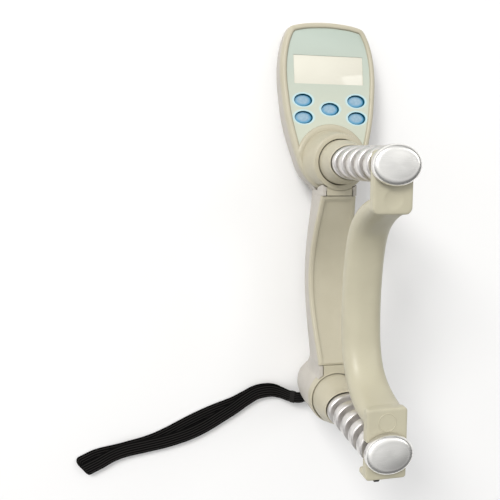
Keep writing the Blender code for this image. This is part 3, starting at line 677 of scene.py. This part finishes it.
def section(y, wall, back, steps=44):
    """Half-open cross-section of the shell, from its right rim round the back to its left rim."""
    half = max(half_width(y) - wall, 0.3)
    bottom = back_z(y) + back
    top = parting_z(y)
    height = top - bottom
    power = 2.0 / squareness(y)
    ring = []
    for a in arc_turn(steps, 0.0, math.pi, ends=True):
        x = half * signed_power(math.cos(a), power)
        ring.append((x, y, top - min((height + FLAT_TRIM) * math.sin(a) ** power, height)))
    return ring


def stations():
    """Places along the housing, denser at its ends and at the steps of the parting line."""
    foot = [LOWER_Y - FOOT_R * math.cos(a) for a in arc_turn(22, 0.12, math.pi / 2 - 0.12, ends=True)]
    spine = [LOWER_Y + 2.0 * i for i in range(1, 64)]
    head = [UPPER_Y - 20.0 + 2.0 * i for i in range(1, 48)]
    top = [y for y, x in HEAD_SIDE if y > UPPER_Y + 70 and x > 0.5]
    steps = [LOWER_Y + at + d for at in (NECK_START, CAP_REACH, POST_SPACING - CAP_REACH,
                                         POST_SPACING - BOSS_REACH - 0.8) for d in (-0.02, 0.02)]
    kept = []
    for y in sorted(foot + spine + [h for h in head if h < UPPER_Y + 70] + top + steps):
        near_step = any(abs(y - s) < 0.5 and y not in steps for s in steps)
        if not near_step and (not kept or y - kept[-1] > 0.03):
            kept.append(y)
    return kept


def open_shell(name, mat):
    """The rear housing as a closed skin with a real wall: outside, rim and inside."""
    places = stations()
    low_y, high_y = places[0] + WALL, places[-1] - WALL
    outer = []
    inner = []
    for y in places:
        ring = section(y, 0.0, 0.0)
        (x0, _, z0), (x1, _, z1) = ring[0], ring[-1]
        rim = min(RIM_ROUND, abs(x0) * 0.4)
        right = [(x0 - rim, y, z0), (x0 - rim * 0.3, y, z0 - rim * 0.3)]
        left = [(x1 + rim * 0.3, y, z1 - rim * 0.3), (x1 + rim, y, z1)]
        lowered = [(x, y, min(z, z0 - rim)) for x, _, z in ring]
        outer.append(right + lowered + left)
        inside = min(max(y, low_y), high_y)
        back = WALL + (BACK_WALL - WALL) * blend(0, 1, (y - UPPER_Y + 8) / 4)
        hollow = section(inside, WALL, back)
        top = parting_z(y)
        hollow = [(x, iy, top if k in (0, len(hollow) - 1) else min(z, top - 0.05))
                  for k, (x, iy, z) in enumerate(hollow)]
        inner.append(hollow)
    count, depth = len(outer[0]), len(inner[0])
    points = [p for ring in outer for p in ring]
    start = len(points)
    points = points + [p for ring in inner for p in ring]
    faces = []
    for k in range(len(places) - 1):
        for i in range(count - 1):
            a, b = k * count + i, (k + 1) * count + i
            faces.append((a, a + 1, b + 1, b))
        for i in range(depth - 1):
            a, b = start + k * depth + i, start + (k + 1) * depth + i
            faces.append((a, b, b + 1, a + 1))
        for o, n in ((0, 0), (count - 1, depth - 1)):
            a, b = k * count + o, (k + 1) * count + o
            c, d = start + (k + 1) * depth + n, start + k * depth + n
            faces.append((a, b, c, d) if o == 0 else (a, d, c, b))
    last, last_in = (len(places) - 1) * count, start + (len(places) - 1) * depth
    faces.append(tuple(reversed(range(count))))
    faces.append(tuple(range(last, last + count)))
    faces.append(tuple(range(start, start + depth)))
    faces.append(tuple(reversed(range(last_in, last_in + depth))))
    faces.append((0, start, start + depth - 1, count - 1))
    faces.append((last, last + count - 1, last_in + depth - 1, last_in))
    return make(name, points, faces, mat)


SCREWS = [(-19.0, 73.5), (19.0, 73.5), (-17.5, 13.5), (17.5, 13.5)]
BOSS_R = 19.6
BOSS_FOOT = [(BOSS_R, 0.6), (19.0, 1.5), (18.5, 3.0)]            # radius, and height above the face
BOSS_SIDE = [(18.0, 38.5), (17.5, 42.0), (17.15, 44.6)]          # radius, and z
BOSS_SEAM = 0.35              # opening between the boss and the neck


def neck_cheek(side, mat):
    """Side wall of the neck, carried on above the head's rim to meet the round boss."""
    start, end = UPPER_Y - BOSS_REACH - 0.9, UPPER_Y - 11.0
    near, far = TONGUE_HALF + GAP, half_width(start)
    rings = []
    over_rim = 1.1
    for trim, drop in ((0.0, None), (0.0, RIM_ROUND), (RIM_ROUND * 0.3, RIM_ROUND * 0.3), (RIM_ROUND, 0.0)):
        plan = [(near, start), (far - trim, start), (far - trim, end), (near, end)]
        ring = [(side * x, y, face_z(y) + over_rim if drop is None else WALL_TOP - drop) for x, y in plan]
        rings.append(ring if side > 0 else list(reversed(ring)))
    cheek = loft("neck_cheek", rings, mat)
    level = face_z(UPPER_Y - 15.0)
    boss = [(BOSS_R, 10.0)] + [(r, level + h) for r, h in BOSS_FOOT] + BOSS_SIDE + [(17.0, 60.0)]
    room = [(r + BOSS_SEAM, z) for r, z in boss]
    cut(cheek, turned("boss_room", room, mat, UPPER_Y, steps=160))
    return cheek


def rear_housing(mat):
    shell = open_shell("housing_shell", mat)
    unite(shell, neck_cheek(-1, mat), neck_cheek(1, mat))
    door_low, door_high = low("battery_door"), high("battery_door")
    pocket = rounded_box(door_low.x - GAP, door_high.x + GAP, door_low.y - 10.0, door_high.y + GAP, 1.0)
    pin_low, pin_high = low("strap_pin"), high("strap_pin")
    seat = [(FOOT_R + GAP, FOOT_PARTING + 0.1), (FOOT_R + GAP, SEAM_Z + 6)]
    tools = [
        prism("pocket", pocket, -1.0, 2.3, mat),
        turned("cap_seat", seat, mat, LOWER_Y, steps=128),
        prism("strap_slot", rounded_box(-21, -1.2, pin_low.y + 1.3, pin_high.y - 1.2, 1.5), pin_low.z - 1.7,
              pin_high.z + 1.6, mat),
        turned("bolt_access", [(5.2, -1), (5.2, 0.2), (4.6, 0.8), (4.6, 8)], mat, LOWER_Y),
    ]
    for k, (x, up) in enumerate(SCREWS):
        hole = [(3.5, -1), (3.5, 0.0), (3.0, 0.5), (3.0, 2.6)]
        tools.append(turned(f"screw_hole_{k}", hole, mat, UPPER_Y + up, x, 48))
    cut(shell, *tools)
    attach(shell, "housing")
    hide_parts("rear_housing")


def battery_door(mat):
    a, b = low("battery_door"), high("battery_door")
    outline = rounded_box(a.x, b.x, a.y, b.y, 0.9)
    levels = [(0.5, a.z), (0.15, a.z + 0.15), (0.0, a.z + 0.5), (0.0, b.z)]
    door = raised("battery_cover", outline, levels, mat)
    tools = []
    for k in range(7):
        y = b.y - 6.0 - 1.6 * k
        groove = rounded_box(-6.5, 6.5, y - 0.4, y + 0.4, 0.39)
        tools.append(prism(f"grip_{k}", groove, a.z - 1.0, a.z + 0.35, mat))
    tools.append(prism("thumb", rounded_box(-5.0, 5.0, a.y + 2.0, a.y + 6.0, 1.9), a.z - 1.0, a.z + 0.5, mat))
    cut(door, *tools)
    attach(door, "door")
    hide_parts("battery_door")


def housing_screws(mat):
    """Pan heads with a cross recess."""
    for k, (x, up) in enumerate(SCREWS):
        name = f"housing_screw_{k + 1}"
        y = UPPER_Y + up
        profile = [(0.3, 0.75), (1.4, 0.85), (2.2, 1.15), (2.7, 1.7), (2.7, 2.3), (1.25, 2.3), (1.25, 12.0),
                   (0.5, 12.8)]
        screw = turned(f"cross_screw_{k + 1}", profile, mat, y, x, 40)
        cut(screw, box("cross_a", (x - 1.5, y - 0.28, 0), (x + 1.5, y + 0.28, 1.6), mat),
            box("cross_b", (x - 0.28, y - 1.5, 0), (x + 0.28, y + 1.5, 1.6), mat))
        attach(screw, "housing")
        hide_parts(name)


# ---- head

def key_outline(x, up, grow=0.0, steps=64):
    return [(px, py) for px, py, _ in oval(KEY_HALF_X + grow, KEY_HALF_Y + grow, 0, up, x, steps)]


LABEL_INSET = 3.75
LABEL_ARC = 23.3
THROUGH = [(0, -6), (0, 6)]   # levels of a cutter that goes through the face


def tongue(name, start, end, mat):
    """Flat tongue of a front cover, between the side walls of the neck."""
    outline = rounded_box(-TONGUE_HALF, TONGUE_HALF, start, end, 0.3)
    return raised(name, outline, [(0, TONGUE_BACK), (0, 45.3), (0.3, 45.6)], mat)


def head_shell(mat):
    """Front shell of the head: raised rim, recessed floor for the label, and the boss of the upper post."""
    outline = head_outline()
    skirt = [(WALL + 2.4, -2.9), (WALL, -3.1), (WALL, GAP - SHELL_DEPTH), (0.12, GAP - SHELL_DEPTH),
             (0, GAP - SHELL_DEPTH + 0.12), (0, -2.4), (0.08, -1.6), (0.3, -0.9), (0.7, -0.2), (1.2, 0.25),
             (1.8, 0.5), (2.4, 0.55), (2.95, 0.4), (3.3, 0.1), (3.5, -0.25), (3.55, -0.75), (4.2, -0.8)]
    shell = raised("head_shell", outline, skirt, mat, above_face)
    arc = [(18.6, -0.6), (18.6, 0.2), (20.2, 0.75), (21.4, 0.9), (22.4, 0.75), (23.0, 0.3), (23.25, -0.2),
           (23.3, -1.2)]
    rings = [[above_face(*point) for point in oval(r, r, h, UPPER_Y, steps=160)] for r, h in arc]
    band = loft("arc_band", list(reversed(rings)), mat)
    keep = raised("arc_keep", outline, [(1.9, -2.2), (1.9, 3.0)], mat, above_face)
    combine(band, [keep], "INTERSECT")
    unite(shell, band)

    def boss_ring(r, height, on_the_face=False):
        ring = []
        for a in arc_turn(160):
            reach = min(r, BOSS_REACH + 0.3 - (BOSS_R - r) * 0.05) if math.sin(a) < 0 else r
            y = UPPER_Y + reach * math.sin(a)
            ring.append((r * math.cos(a), y, face_z(y) + height if on_the_face else height))
        return ring

    boss = [boss_ring(r, h, True) for r, h in [(BOSS_R, GAP - SHELL_DEPTH)] + BOSS_FOOT]
    boss = boss + [boss_ring(r, z) for r, z in BOSS_SIDE + [(16.95, 45.3), (16.6, 45.8), (16.0, SEAM_Z)]]
    unite(shell, loft("boss", boss, mat), tongue("tongue", UPPER_Y - CAP_REACH, UPPER_Y - 12, mat))
    bore = UPPER_SEAM_R + GAP
    profile = [(bore, 10), (bore, SEAM_Z - 0.2), (bore + 0.2, SEAM_Z), (bore + 0.2, 60)]
    tools = [turned("boss_bore", profile, mat, UPPER_Y, steps=128)]
    sweep = 1.02
    seam = [(r * math.cos(a), UPPER_Y + r * math.sin(a))
            for r, way in ((17.5, 1), (17.1, -1))
            for a in arc_turn(32, -math.pi / 2 - way * sweep / 2, way * sweep, ends=True)]
    tools.append(prism("boss_seam", seam, 44.9, 47.0, mat))
    opening = rounded_box(-WINDOW_HALF - 0.4, WINDOW_HALF + 0.4, WINDOW_LOW - 0.4, WINDOW_HIGH + 0.4, 1.0)
    tools.append(raised("window_hole", opening, THROUGH, mat, on_face))
    for name, (x, up) in KEYS.items():
        tools.append(raised(name + "_hole", key_outline(x, up, 0.6), THROUGH, mat, on_face))
    cut(shell, *tools)
    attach(shell, "housing")
    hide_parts("head_front_shell")


def label(mat):
    outline = inset(head_outline(), LABEL_INSET)
    film = raised("front_label", outline, [(0, -0.78), (0, -0.6), (0.06, -0.55)], mat, above_face)
    tools = [turned("label_arc", [(LABEL_ARC, 0), (LABEL_ARC, 60)], mat, UPPER_Y, steps=160)]
    opening = rounded_box(-WINDOW_HALF, WINDOW_HALF, WINDOW_LOW, WINDOW_HIGH, 0.5)
    tools.append(raised("label_window", opening, THROUGH, mat, on_face))
    for name, (x, up) in KEYS.items():
        tools.append(raised(name + "_label", key_outline(x, up, 0.3), THROUGH, mat, on_face))
    cut(film, *tools)
    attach(film, "housing")
    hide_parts("label_overlay")


def display(mat):
    pane = rounded_box(-WINDOW_HALF - 0.3, WINDOW_HALF + 0.3, WINDOW_LOW - 0.3, WINDOW_HIGH + 0.3, 0.8)
    lens = raised("display_lens", pane, [(0, -2.4), (0, -0.95), (0.15, -0.85)], mat, on_face)
    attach(lens, "housing")
    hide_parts("display_window")


def keys(mat, well_mat):
    for name, (x, up) in KEYS.items():
        crown = [(1.0, -3.5), (1.0, -3.1), (1.0, -2.6), (0.97, -2.35), (0.9, -2.15), (0.78, -2.0),
                 (0.6, -1.9), (0.4, -1.84), (0.2, -1.81), (0.06, -1.8)]
        rings = [[on_face(*point) for point in oval(KEY_HALF_X * k, KEY_HALF_Y * k, h, up, x, 64)]
                 for k, h in crown]
        cap = loft(name + "_cap", rings, mat)
        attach(cap, name + "_body")
        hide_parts(name)
        outer, inner = key_outline(x, up, 0.5), key_outline(x, up, 0.15)
        rings = [[on_face(px, py, h) for px, py in ring]
                 for ring, h in ((outer, -3.3), (outer, -0.8), (inner, -0.66), (inner, -3.3))]
        well = loft(name + "_well", rings, well_mat, closed=True)
        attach(well, "housing")


# ---- spine and foot

def spine_cover(mat):
    """Lid of the spine: a raised edge all round a dished panel."""
    first = LOWER_Y + CAP_REACH + GAP
    last = UPPER_Y - CAP_REACH - GAP
    count = 96
    rings = []
    for i in range(count + 1):
        t = i / count
        y = first + (last - first) * t
        end = min(y - first, last - y)
        half, front = spine_half(y), spine_front(y)
        trim = 0.3 * max(0.0, 1 - end / 0.3)
        dish = 1.25 * blend(0, 1, (end - 1.6) / 2.2)
        crown = [(half, GAP - COVER_DEPTH), (half, -0.9), (half - 0.12, -0.5), (half - 0.45, -0.15),
                 (half - 0.95, 0.0), (half - 1.9, 0.0), (half - 2.35, -0.08 * dish),
                 (half - 2.8, -0.5 * dish), (half - 3.4, -0.75 * dish), (half - 5.0, -0.88 * dish),
                 (half - 7.5, -0.97 * dish), (0.0, -dish)]
        right = [(x, front + h - trim) for x, h in crown]
        top = right + [(-x, z) for x, z in reversed(right[:-1])]
        under = [(-half + WALL, front + GAP - COVER_DEPTH), (-half + WALL, front - 2.6),
                 (half - WALL, front - 2.6), (half - WALL, front + GAP - COVER_DEPTH)]
        rings.append([(x, y, z) for x, z in top + under])
    cover = loft("spine_panel", list(reversed(rings)), mat, 30.0)
    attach(cover, "housing")
    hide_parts("spine_front_cover")


def foot_cap(mat):
    """Round front of the foot, its tongue between the neck's side walls, and the opening for the collar."""
    rings = [(0, FOOT_PARTING + GAP), (0, 44.4), (0.08, 45.0), (0.24, 45.5), (0.42, 45.8), (0.6, SEAM_Z)]
    cap = turned("foot_cap", [(FOOT_R - shrink, z) for shrink, z in rings], mat, LOWER_Y, steps=128)
    unite(cap, tongue("foot_tongue", LOWER_Y + 12, LOWER_Y + CAP_REACH, mat))
    bore = LOWER_SEAM_R + GAP
    cut(cap, turned("foot_bore", [(bore, 30), (bore, 60)], mat, LOWER_Y, steps=128))
    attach(cap, "housing")
    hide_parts("lower_boss_cover")


# ---- posts and collars

RIB_HALF_X = 12.4
RIB_HALF_Y = 9.8
NECK_R = 4.8
SHANK_R = 8.0
PITCH = 12.7
GROOVE = 6.3
DISC = 6.0
DISC_HALF_X = high("upper_post").x
DISC_HALF_Y = high("upper_post").y - UPPER_Y
EDGE_IN = 3.4                 # the disc's soft edge, across and down
EDGE_DROP = 3.3
CROWN = 0.5                   # how far its middle stands above that edge
POST_BASE = 19.4


def collar(name, y, seam_radius, mat):
    outer = []
    for height, t, shrink in ((-5.5, 0, 0.4), (-5.0, 0, RING_GAP), (0.3, 0.01, RING_GAP), (6.0, 0.22, 0.1),
                              (10, 0.45, 0), (14.0, 0.7, 0), (17, 0.92, 0), (18.4, 1.0, 0),
                              (18.75, 1.0, 0.12), (19.0, 1.0, 0.5)):
        wide = blend(seam_radius, RIB_HALF_X + 0.9, t) - shrink
        deep = blend(seam_radius, RIB_HALF_Y + 1.1, t) - shrink
        outer.append(oval(wide, deep, SEAM_Z + height, y))
    body = loft(name + "_sleeve", outer, mat)
    mouth = [oval(RIB_HALF_X - d, RIB_HALF_Y - d, SEAM_Z + h, y)
             for d, h in ((0.6, 10.0), (0.0, 18.6), (-0.3, 19.1), (-0.3, 22.0))]
    bore = turned("sleeve_bore", [(SHANK_R + GAP, 20), (SHANK_R + GAP, 80)], mat, y)
    cut(body, bore, loft("sleeve_mouth", mouth, mat))
    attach(body, "housing")
    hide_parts(name)


def post(name, y, metal, end_metal):
    """Oval ribs with chamfered edges between round necks, then the heavy end disc."""
    rings = []

    def flange(shrink, height, half_x=RIB_HALF_X, half_y=RIB_HALF_Y):
        rings.append(oval(half_x - shrink, half_y - shrink, SEAM_Z + height, y))

    def neck(radius, height):
        rings.append(oval(radius, radius, SEAM_Z + height, y))

    def rib(bottom, top):
        bevel = [(1.1, 0.0), (0.62, 0.1), (0.25, 0.35), (0.0, 0.9)]
        for shrink, rise in bevel:
            flange(shrink, bottom + rise)
        for shrink, rise in reversed(bevel):
            flange(shrink, top - rise)

    tip = TIP_Z - SEAM_Z
    neck(SHANK_R, 27.3 - SEAM_Z)
    neck(SHANK_R, POST_BASE)
    bottom = POST_BASE
    for k in range(5):
        groove = tip - DISC - GROOVE - PITCH * (4 - k)
        rib(bottom, groove)
        bottom = groove + GROOVE
        fillet = [(0.5, 0.0), (0.1, 0.4), (0.0, 0.9)]
        for past, rise in fillet:
            neck(NECK_R + past, groove + rise)
        for past, rise in reversed(fillet):
            neck(NECK_R + past, bottom - rise)
    disc = (DISC_HALF_X, DISC_HALF_Y)
    for shrink, height in ((0.9, bottom), (0.4, bottom + 0.12), (0.1, bottom + 0.45), (0.0, bottom + 0.9),
                           (0.0, tip - EDGE_DROP)):
        flange(shrink, height, *disc)
    first_end = len(rings)
    for k in range(1, 13):
        a = math.pi / 2 * k / 12
        flange(EDGE_IN * (1 - math.cos(a)), tip - EDGE_DROP + (EDGE_DROP - CROWN) * math.sin(a), *disc)
    for k in range(1, 8):
        shrink = EDGE_IN + (DISC_HALF_Y - 0.8 - EDGE_IN) * k / 7
        flat = (DISC_HALF_Y - shrink) / (DISC_HALF_Y - EDGE_IN)
        flange(shrink, tip - CROWN * flat * flat, *disc)
    body = loft(name + "_turned", rings, metal, 30.0)
    body.data.materials.append(end_metal)
    for face in body.data.polygons:
        if face.center.z > rings[first_end][0][2] * MM:
            face.material_index = 1
    cut(body, turned("post_bore", [(2.75, 20), (2.75, SEAM_Z - 4)], metal, y, steps=32))
    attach(body, "housing")
    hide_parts(name)


# ---- handle

ARM = [(79, 16.5), (70, 17.2), (61, 19.5), (53, 24.5), (46, 33), (41.5, 44), (39.8, 58), (40, 74), (42, 90),
       (45.5, 103), (51, 112.5), (59.5, 119.3), (69, 123.6), (79, 126.3)]
PLATE_HALF = 11.0
HOOK_REACH = 14.9
THROAT = NECK_R + GAP


def handle_arm(mat):
    line = smooth_curve([(0.0, LOWER_Y + along, SEAM_Z + out) for out, along in ARM], 6)
    rings = []
    for i, p in enumerate(line):
        along = (line[min(i + 1, len(line) - 1)] - line[max(i - 1, 0)]).normalized()
        over = Vector((1, 0, 0)).cross(along)
        mid = math.sin(math.pi * i / (len(line) - 1))
        root = blend(1, 0, i / 24)
        flare = blend(0, 1, i / 8) * blend(1, 0, (i - 10) / 16)
        ring = []
        for a in arc_turn(56):
            x = (10.6 + 0.3 * mid + 0.4 * root) * signed_power(math.cos(a), 0.75 - 0.15 * root)
            x += 1.5 * flare * max(0.0, math.cos(a))
            h = (5.2 + 2.6 * mid) * signed_power(math.sin(a), 0.85)
            ring.append(tuple(p + Vector((x, 0, 0)) + over * h))
        rings.append(ring)
    return loft("grip", list(reversed(rings)), mat)


def soften(obj, voxel, passes):
    """Remesh the united solids and smooth them, which gives moulded fillets where they meet."""
    remesh = obj.modifiers.new("voxels", "REMESH")
    remesh.mode = "VOXEL"
    remesh.voxel_size = voxel * MM
    smooth = obj.modifiers.new("smooth", "SMOOTH")
    smooth.factor = 0.5
    smooth.iterations = passes
    return combine(obj, [], "UNION")


def press_mark(mesh, centre, radius, depth):
    """A shallow round dish in the front of a plate."""
    for v in mesh.vertices:
        away = math.hypot(v.co.x / MM - centre[0], v.co.y / MM - centre[1])
        if away < radius and v.co.z / MM > PLATE_FRONT - 1.0:
            v.co.z -= depth * MM * math.cos(away / radius * math.pi / 2) ** 0.6


def handle(mat):
    body = handle_arm(mat)
    upper = rounded_box(-PLATE_HALF + 0.3, PLATE_HALF - 0.6, UPPER_Y - 24.7, UPPER_Y + 7.5, 3.6)
    lower = rounded_box(-PLATE_HALF, PLATE_HALF, LOWER_Y - HOOK_REACH, LOWER_Y + 22.6, 1.8)
    jaw = rounded_box(-PLATE_HALF, PLATE_HALF, LOWER_Y - HOOK_REACH, LOWER_Y - 10.9, 1.6)
    unite(body, prism("fork", upper, PLATE_BACK, PLATE_FRONT, mat),
          prism("hook", lower, PLATE_BACK, PLATE_FRONT, mat),
          prism("jaw", jaw, PLATE_BACK - 5.0, PLATE_BACK + 2.0, mat))
    soften(body, 0.6, 5)
    press_mark(body.data, (0.0, UPPER_Y - 17.0), 4.9, 0.55)
    outline = [(THROAT * math.cos(a), UPPER_Y + THROAT * math.sin(a))
               for a in arc_turn(32, math.pi, math.pi, ends=True)]
    outline = outline + [(THROAT, UPPER_Y + 20), (-THROAT, UPPER_Y + 20)]
    reach = 0.13
    inner, outer = POST_SPACING - THROAT - 0.15, POST_SPACING + THROAT + 0.15
    arc = [-reach * i / 12 for i in range(13)]
    mouth = [(outer * math.sin(a), UPPER_Y - outer * math.cos(a)) for a in reversed(arc)]
    mouth = mouth + [((THROAT + 0.15) * math.cos(a), LOWER_Y + (THROAT + 0.15) * math.sin(a))
                     for a in arc_turn(24, -math.pi / 2, math.pi, ends=True)[1:-1]]
    mouth = mouth + [(inner * math.sin(a), UPPER_Y - inner * math.cos(a)) for a in arc]
    clip_low, clip_high = low("handle_clip"), high("handle_clip")
    cut(body, prism("throat", outline, PLATE_BACK - 12, PLATE_FRONT + 5, mat),
        prism("mouth", mouth, PLATE_BACK - 12, PLATE_FRONT + 5, mat),
        box("clip_slot", (clip_low.x - 0.4, clip_low.y - 2.4, clip_low.z - 0.4),
            (clip_high.x + 0.4, LOWER_Y - 2.0, clip_high.z + 0.4), mat))
    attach(body, "handle")
    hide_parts("grip_handle")
    rings = [oval(4.7 + 0.32 * math.cos(b), 4.7 + 0.32 * math.cos(b), PLATE_FRONT - 0.05 + 0.26 * math.sin(b),
                  LOWER_Y + 15.3) for b in arc_turn(12)]
    mark = loft("moulded_ring", rings, mat, closed=True)
    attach(mark, "handle")


def clip(mat):
    a, b = low("handle_clip"), high("handle_clip")
    outline = rounded_box(a.x, b.x, a.y, b.y, 0.9)
    levels = [(0.35, a.z), (0.1, a.z + 0.1), (0, a.z + 0.4), (0, b.z - 0.4), (0.1, b.z - 0.1), (0.35, b.z)]
    catch = raised("catch", outline, levels, mat)
    grooves = []
    for k in range(3):
        y = a.y + 0.35 + 0.5 * k
        grooves.append(box(f"catch_rib_{k}", (a.x - 1, y, b.z - 0.12), (b.x + 1, y + 0.2, b.z + 1), mat))
    cut(catch, *grooves)
    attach(catch, "clip")
    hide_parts("handle_clip")


# ---- strap

# Close to the CAD model's route, as (x, distance above the lower post's axis, z)
STRAP_ROUTE = [(-5.2, -10.1, 11.2), (-9.5, -10.3, 10.9), (-14.0, -11.6, 9.9), (-19.5, -11.2, 6.2),
               (-25, -9.5, 2.8), (-32, -7.6, 1.6), (-41, -8.5, 1.6), (-49, -12.3, 1.6), (-57, -16.6, 1.6),
               (-68, -21.4, 1.6), (-80, -26.8, 1.6), (-92, -31.6, 1.6), (-104, -35.5, 1.6),
               (-115, -38.0, 1.6), (-126, -39.9, 1.6), (-137, -42.5, 1.6), (-145, -45.2, 1.6),
               (-152.8, -48.6, 1.6)]
STRAP_HALF = 4.4
STRAP_THICK = 1.05
LIE = 0.75                    # the lower layer's middle, above the floor
FOLD_SLANT = 0.28             # skews the rings, so that the fold's edge runs aslant
TACK = 21                     # point of the line where the two layers are stitched together


def splay(t):
    """Sideways shift of each layer: none at the foot, some in the middle and at the fold."""
    return 3.1 * math.exp(-((t - 0.595) / 0.12) ** 2) + 2.1 * blend(0, 1, (t - 0.83) / 0.12)


def pinch(t):
    """Share of its width that the webbing keeps, gathered where it leaves the slot."""
    return blend(0.8, 1.0, (t - 0.2) / 0.14)


def lift(t):
    """Half the height between the layers: stitched together at the foot, sprung apart beyond it."""
    return blend(0.62, 1.62, (t - 0.19) / 0.1)


def strap(mat, thread):
    """One webbing loop: out along the lower layer, round the fold, and back along the upper one."""
    line = smooth_curve([(x, LOWER_Y + y, z) for x, y, z in STRAP_ROUTE], 8)
    count = len(line) - 1
    sides = []
    for i in range(count + 1):
        along = line[min(i + 1, count)] - line[max(i - 1, 0)]
        sides.append(along.cross(Vector((0, 0, 1))).normalized())
    path = []
    for way in (1, -1):
        order = range(count + 1) if way == 1 else range(count, -1, -1)
        for i in order:
            t = i / count
            middle = max(line[i].z, LIE + lift(t))
            p = line[i] + sides[i] * way * splay(t)
            p.z = middle - way * lift(t)
            path.append((p, sides[i]))
    turn_at = count + 1
    end, side = line[-1], sides[-1]
    onward = (line[-1] - line[-2]).normalized()
    fold = []
    for a in arc_turn(8, -math.pi / 2, math.pi, ends=True)[1:-1]:
        p = end + onward * (lift(1.0) * math.cos(a)) - side * (splay(1.0) * math.sin(a))
        p.z = LIE + lift(1.0) * (1 + math.sin(a))
        fold.append((p, side))
    path = path[:turn_at] + fold + path[turn_at:]
    profile = webbing_profile()
    rings = []
    travelled = [0.0]
    for i, (p, side) in enumerate(path):
        before, after = path[max(i - 1, 0)][0], path[min(i + 1, len(path) - 1)][0]
        along = (after - before).normalized()
        over = side.cross(along).normalized()
        t = min(i, len(path) - 1 - i) / count
        across = side * pinch(t) + onward * (FOLD_SLANT * blend(0, 1, (t - 0.85) / 0.15))
        rings.append([tuple(p + across * x + over * h) for x, h in profile])
        if i:
            travelled.append(travelled[-1] + (p - path[i - 1][0]).length)
    loop = loft("strap_webbing", list(reversed(rings)), mat, 60.0)
    weave = loop.data.uv_layers.new(name="weave")
    wide = len(profile)
    spans = list(reversed(travelled))
    for face in loop.data.polygons:
        for corner in face.loop_indices:
            v = loop.data.loops[corner].vertex_index
            weave.data[corner].uv = (profile[v % wide][0], spans[v // wide])
    tack = bar_tack(line[TACK], sides[TACK], (line[TACK + 1] - line[TACK]).normalized(), thread)
    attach(loop, "housing")
    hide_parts("wrist_strap")


def webbing_profile():
    """Cross-section of the webbing: ribs on each face and a rounded selvedge."""
    ribs, per_rib = RIBS, 10
    flat = RIB_FLAT
    top = []
    for i in range(ribs * per_rib + 1):
        x = flat - 2 * flat * i / (ribs * per_rib)
        top.append((x, STRAP_THICK / 2 - 0.3 * (1 - abs(math.sin(math.pi * i / per_rib)))))
    edge_points = [(-flat - 0.45 * math.cos(a), 0.38 * math.sin(a)) for a in (0.9, 0.45, 0.0, -0.45, -0.9)]
    left = top + edge_points
    return left + [(-x, -h) for x, h in left]


def bar_tack(at, side, along, mat):
    """Stitched bar that ties the two layers together near the housing."""
    over = side.cross(along).normalized()
    wide, deep, thick = STRAP_HALF * pinch(0) + 0.2, lift(0) + STRAP_THICK / 2 + 0.05, 0.2
    stitches = []
    for k in range(7):
        centre = at + along * (0.45 * (k - 3))
        ring = []
        for a in arc_turn(40):
            out = (side * math.cos(a) + over * math.sin(a)).normalized()
            mid = centre + side * wide * signed_power(math.cos(a), 0.35)
            mid = mid + over * deep * signed_power(math.sin(a), 0.35)
            ring.append([tuple(mid + (out * math.cos(b) + along * math.sin(b)) * thick) for b in arc_turn(6)])
        stitches.append(loft(f"stitch_{k}", ring, mat, closed=True))
    for obj in stitches[1:]:
        join_mesh(stitches[0], obj)
    stitches[0].name = "bar_tack"
    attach(stitches[0], "housing")
    return stitches[0]


def join_mesh(target, other):
    work = bmesh.new()
    work.from_mesh(target.data)
    work.from_mesh(other.data)
    work.to_mesh(target.data)
    work.free()
    bpy.data.objects.remove(other)


# ---- pieces kept from the CAD model

def repaint():
    """Procedural finishes for the CAD nodes that stay as they are."""
    finishes = {
        plated_steel(): ["strap_pin", "upper_post_bolt", "lower_post_bolt", "battery_contact_minus",
                         "battery_contact_plus"],
        turned_metal(): ["load_beam"],
        foil(): [f"strain_gauge_{i}" for i in range(1, 5)],
        black_nylon(): ["signal_cable", "signal_connector"],
        board_resist(): ["circuit_board"],
        lens_plastic(): ["lcd_module"],
        key_rubber(): ["keypad_mat"],
        battery_sleeve(): ["battery_1", "battery_2"],
    }
    for mat, nodes in finishes.items():
        for node in nodes:
            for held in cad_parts[node].material_slots:
                held.material = mat


def main():
    camera()
    nylon = webbing()
    strap(nylon, nylon)
    studio()
    floor()
    cream_mat, grey_mat = cream(), grey_cream()
    rear_housing(grey_mat)
    battery_door(grey_mat)
    housing_screws(plated_steel())
    head_shell(cream_mat)
    label(label_film())
    display(lens_plastic())
    keys(key_rubber(), well_shade_paint())
    spine_cover(cream_mat)
    foot_cap(cream_mat)
    metal, end_metal = turned_metal(), brushed_metal()
    for name, y, radius in (("upper", UPPER_Y, UPPER_SEAM_R), ("lower", LOWER_Y, LOWER_SEAM_R)):
        collar(name + "_collar", y, radius, cream_mat)
        post(name + "_post", y, metal, end_metal)
    handle(olive_cream())
    clip(black_nylon())
    repaint()


main()
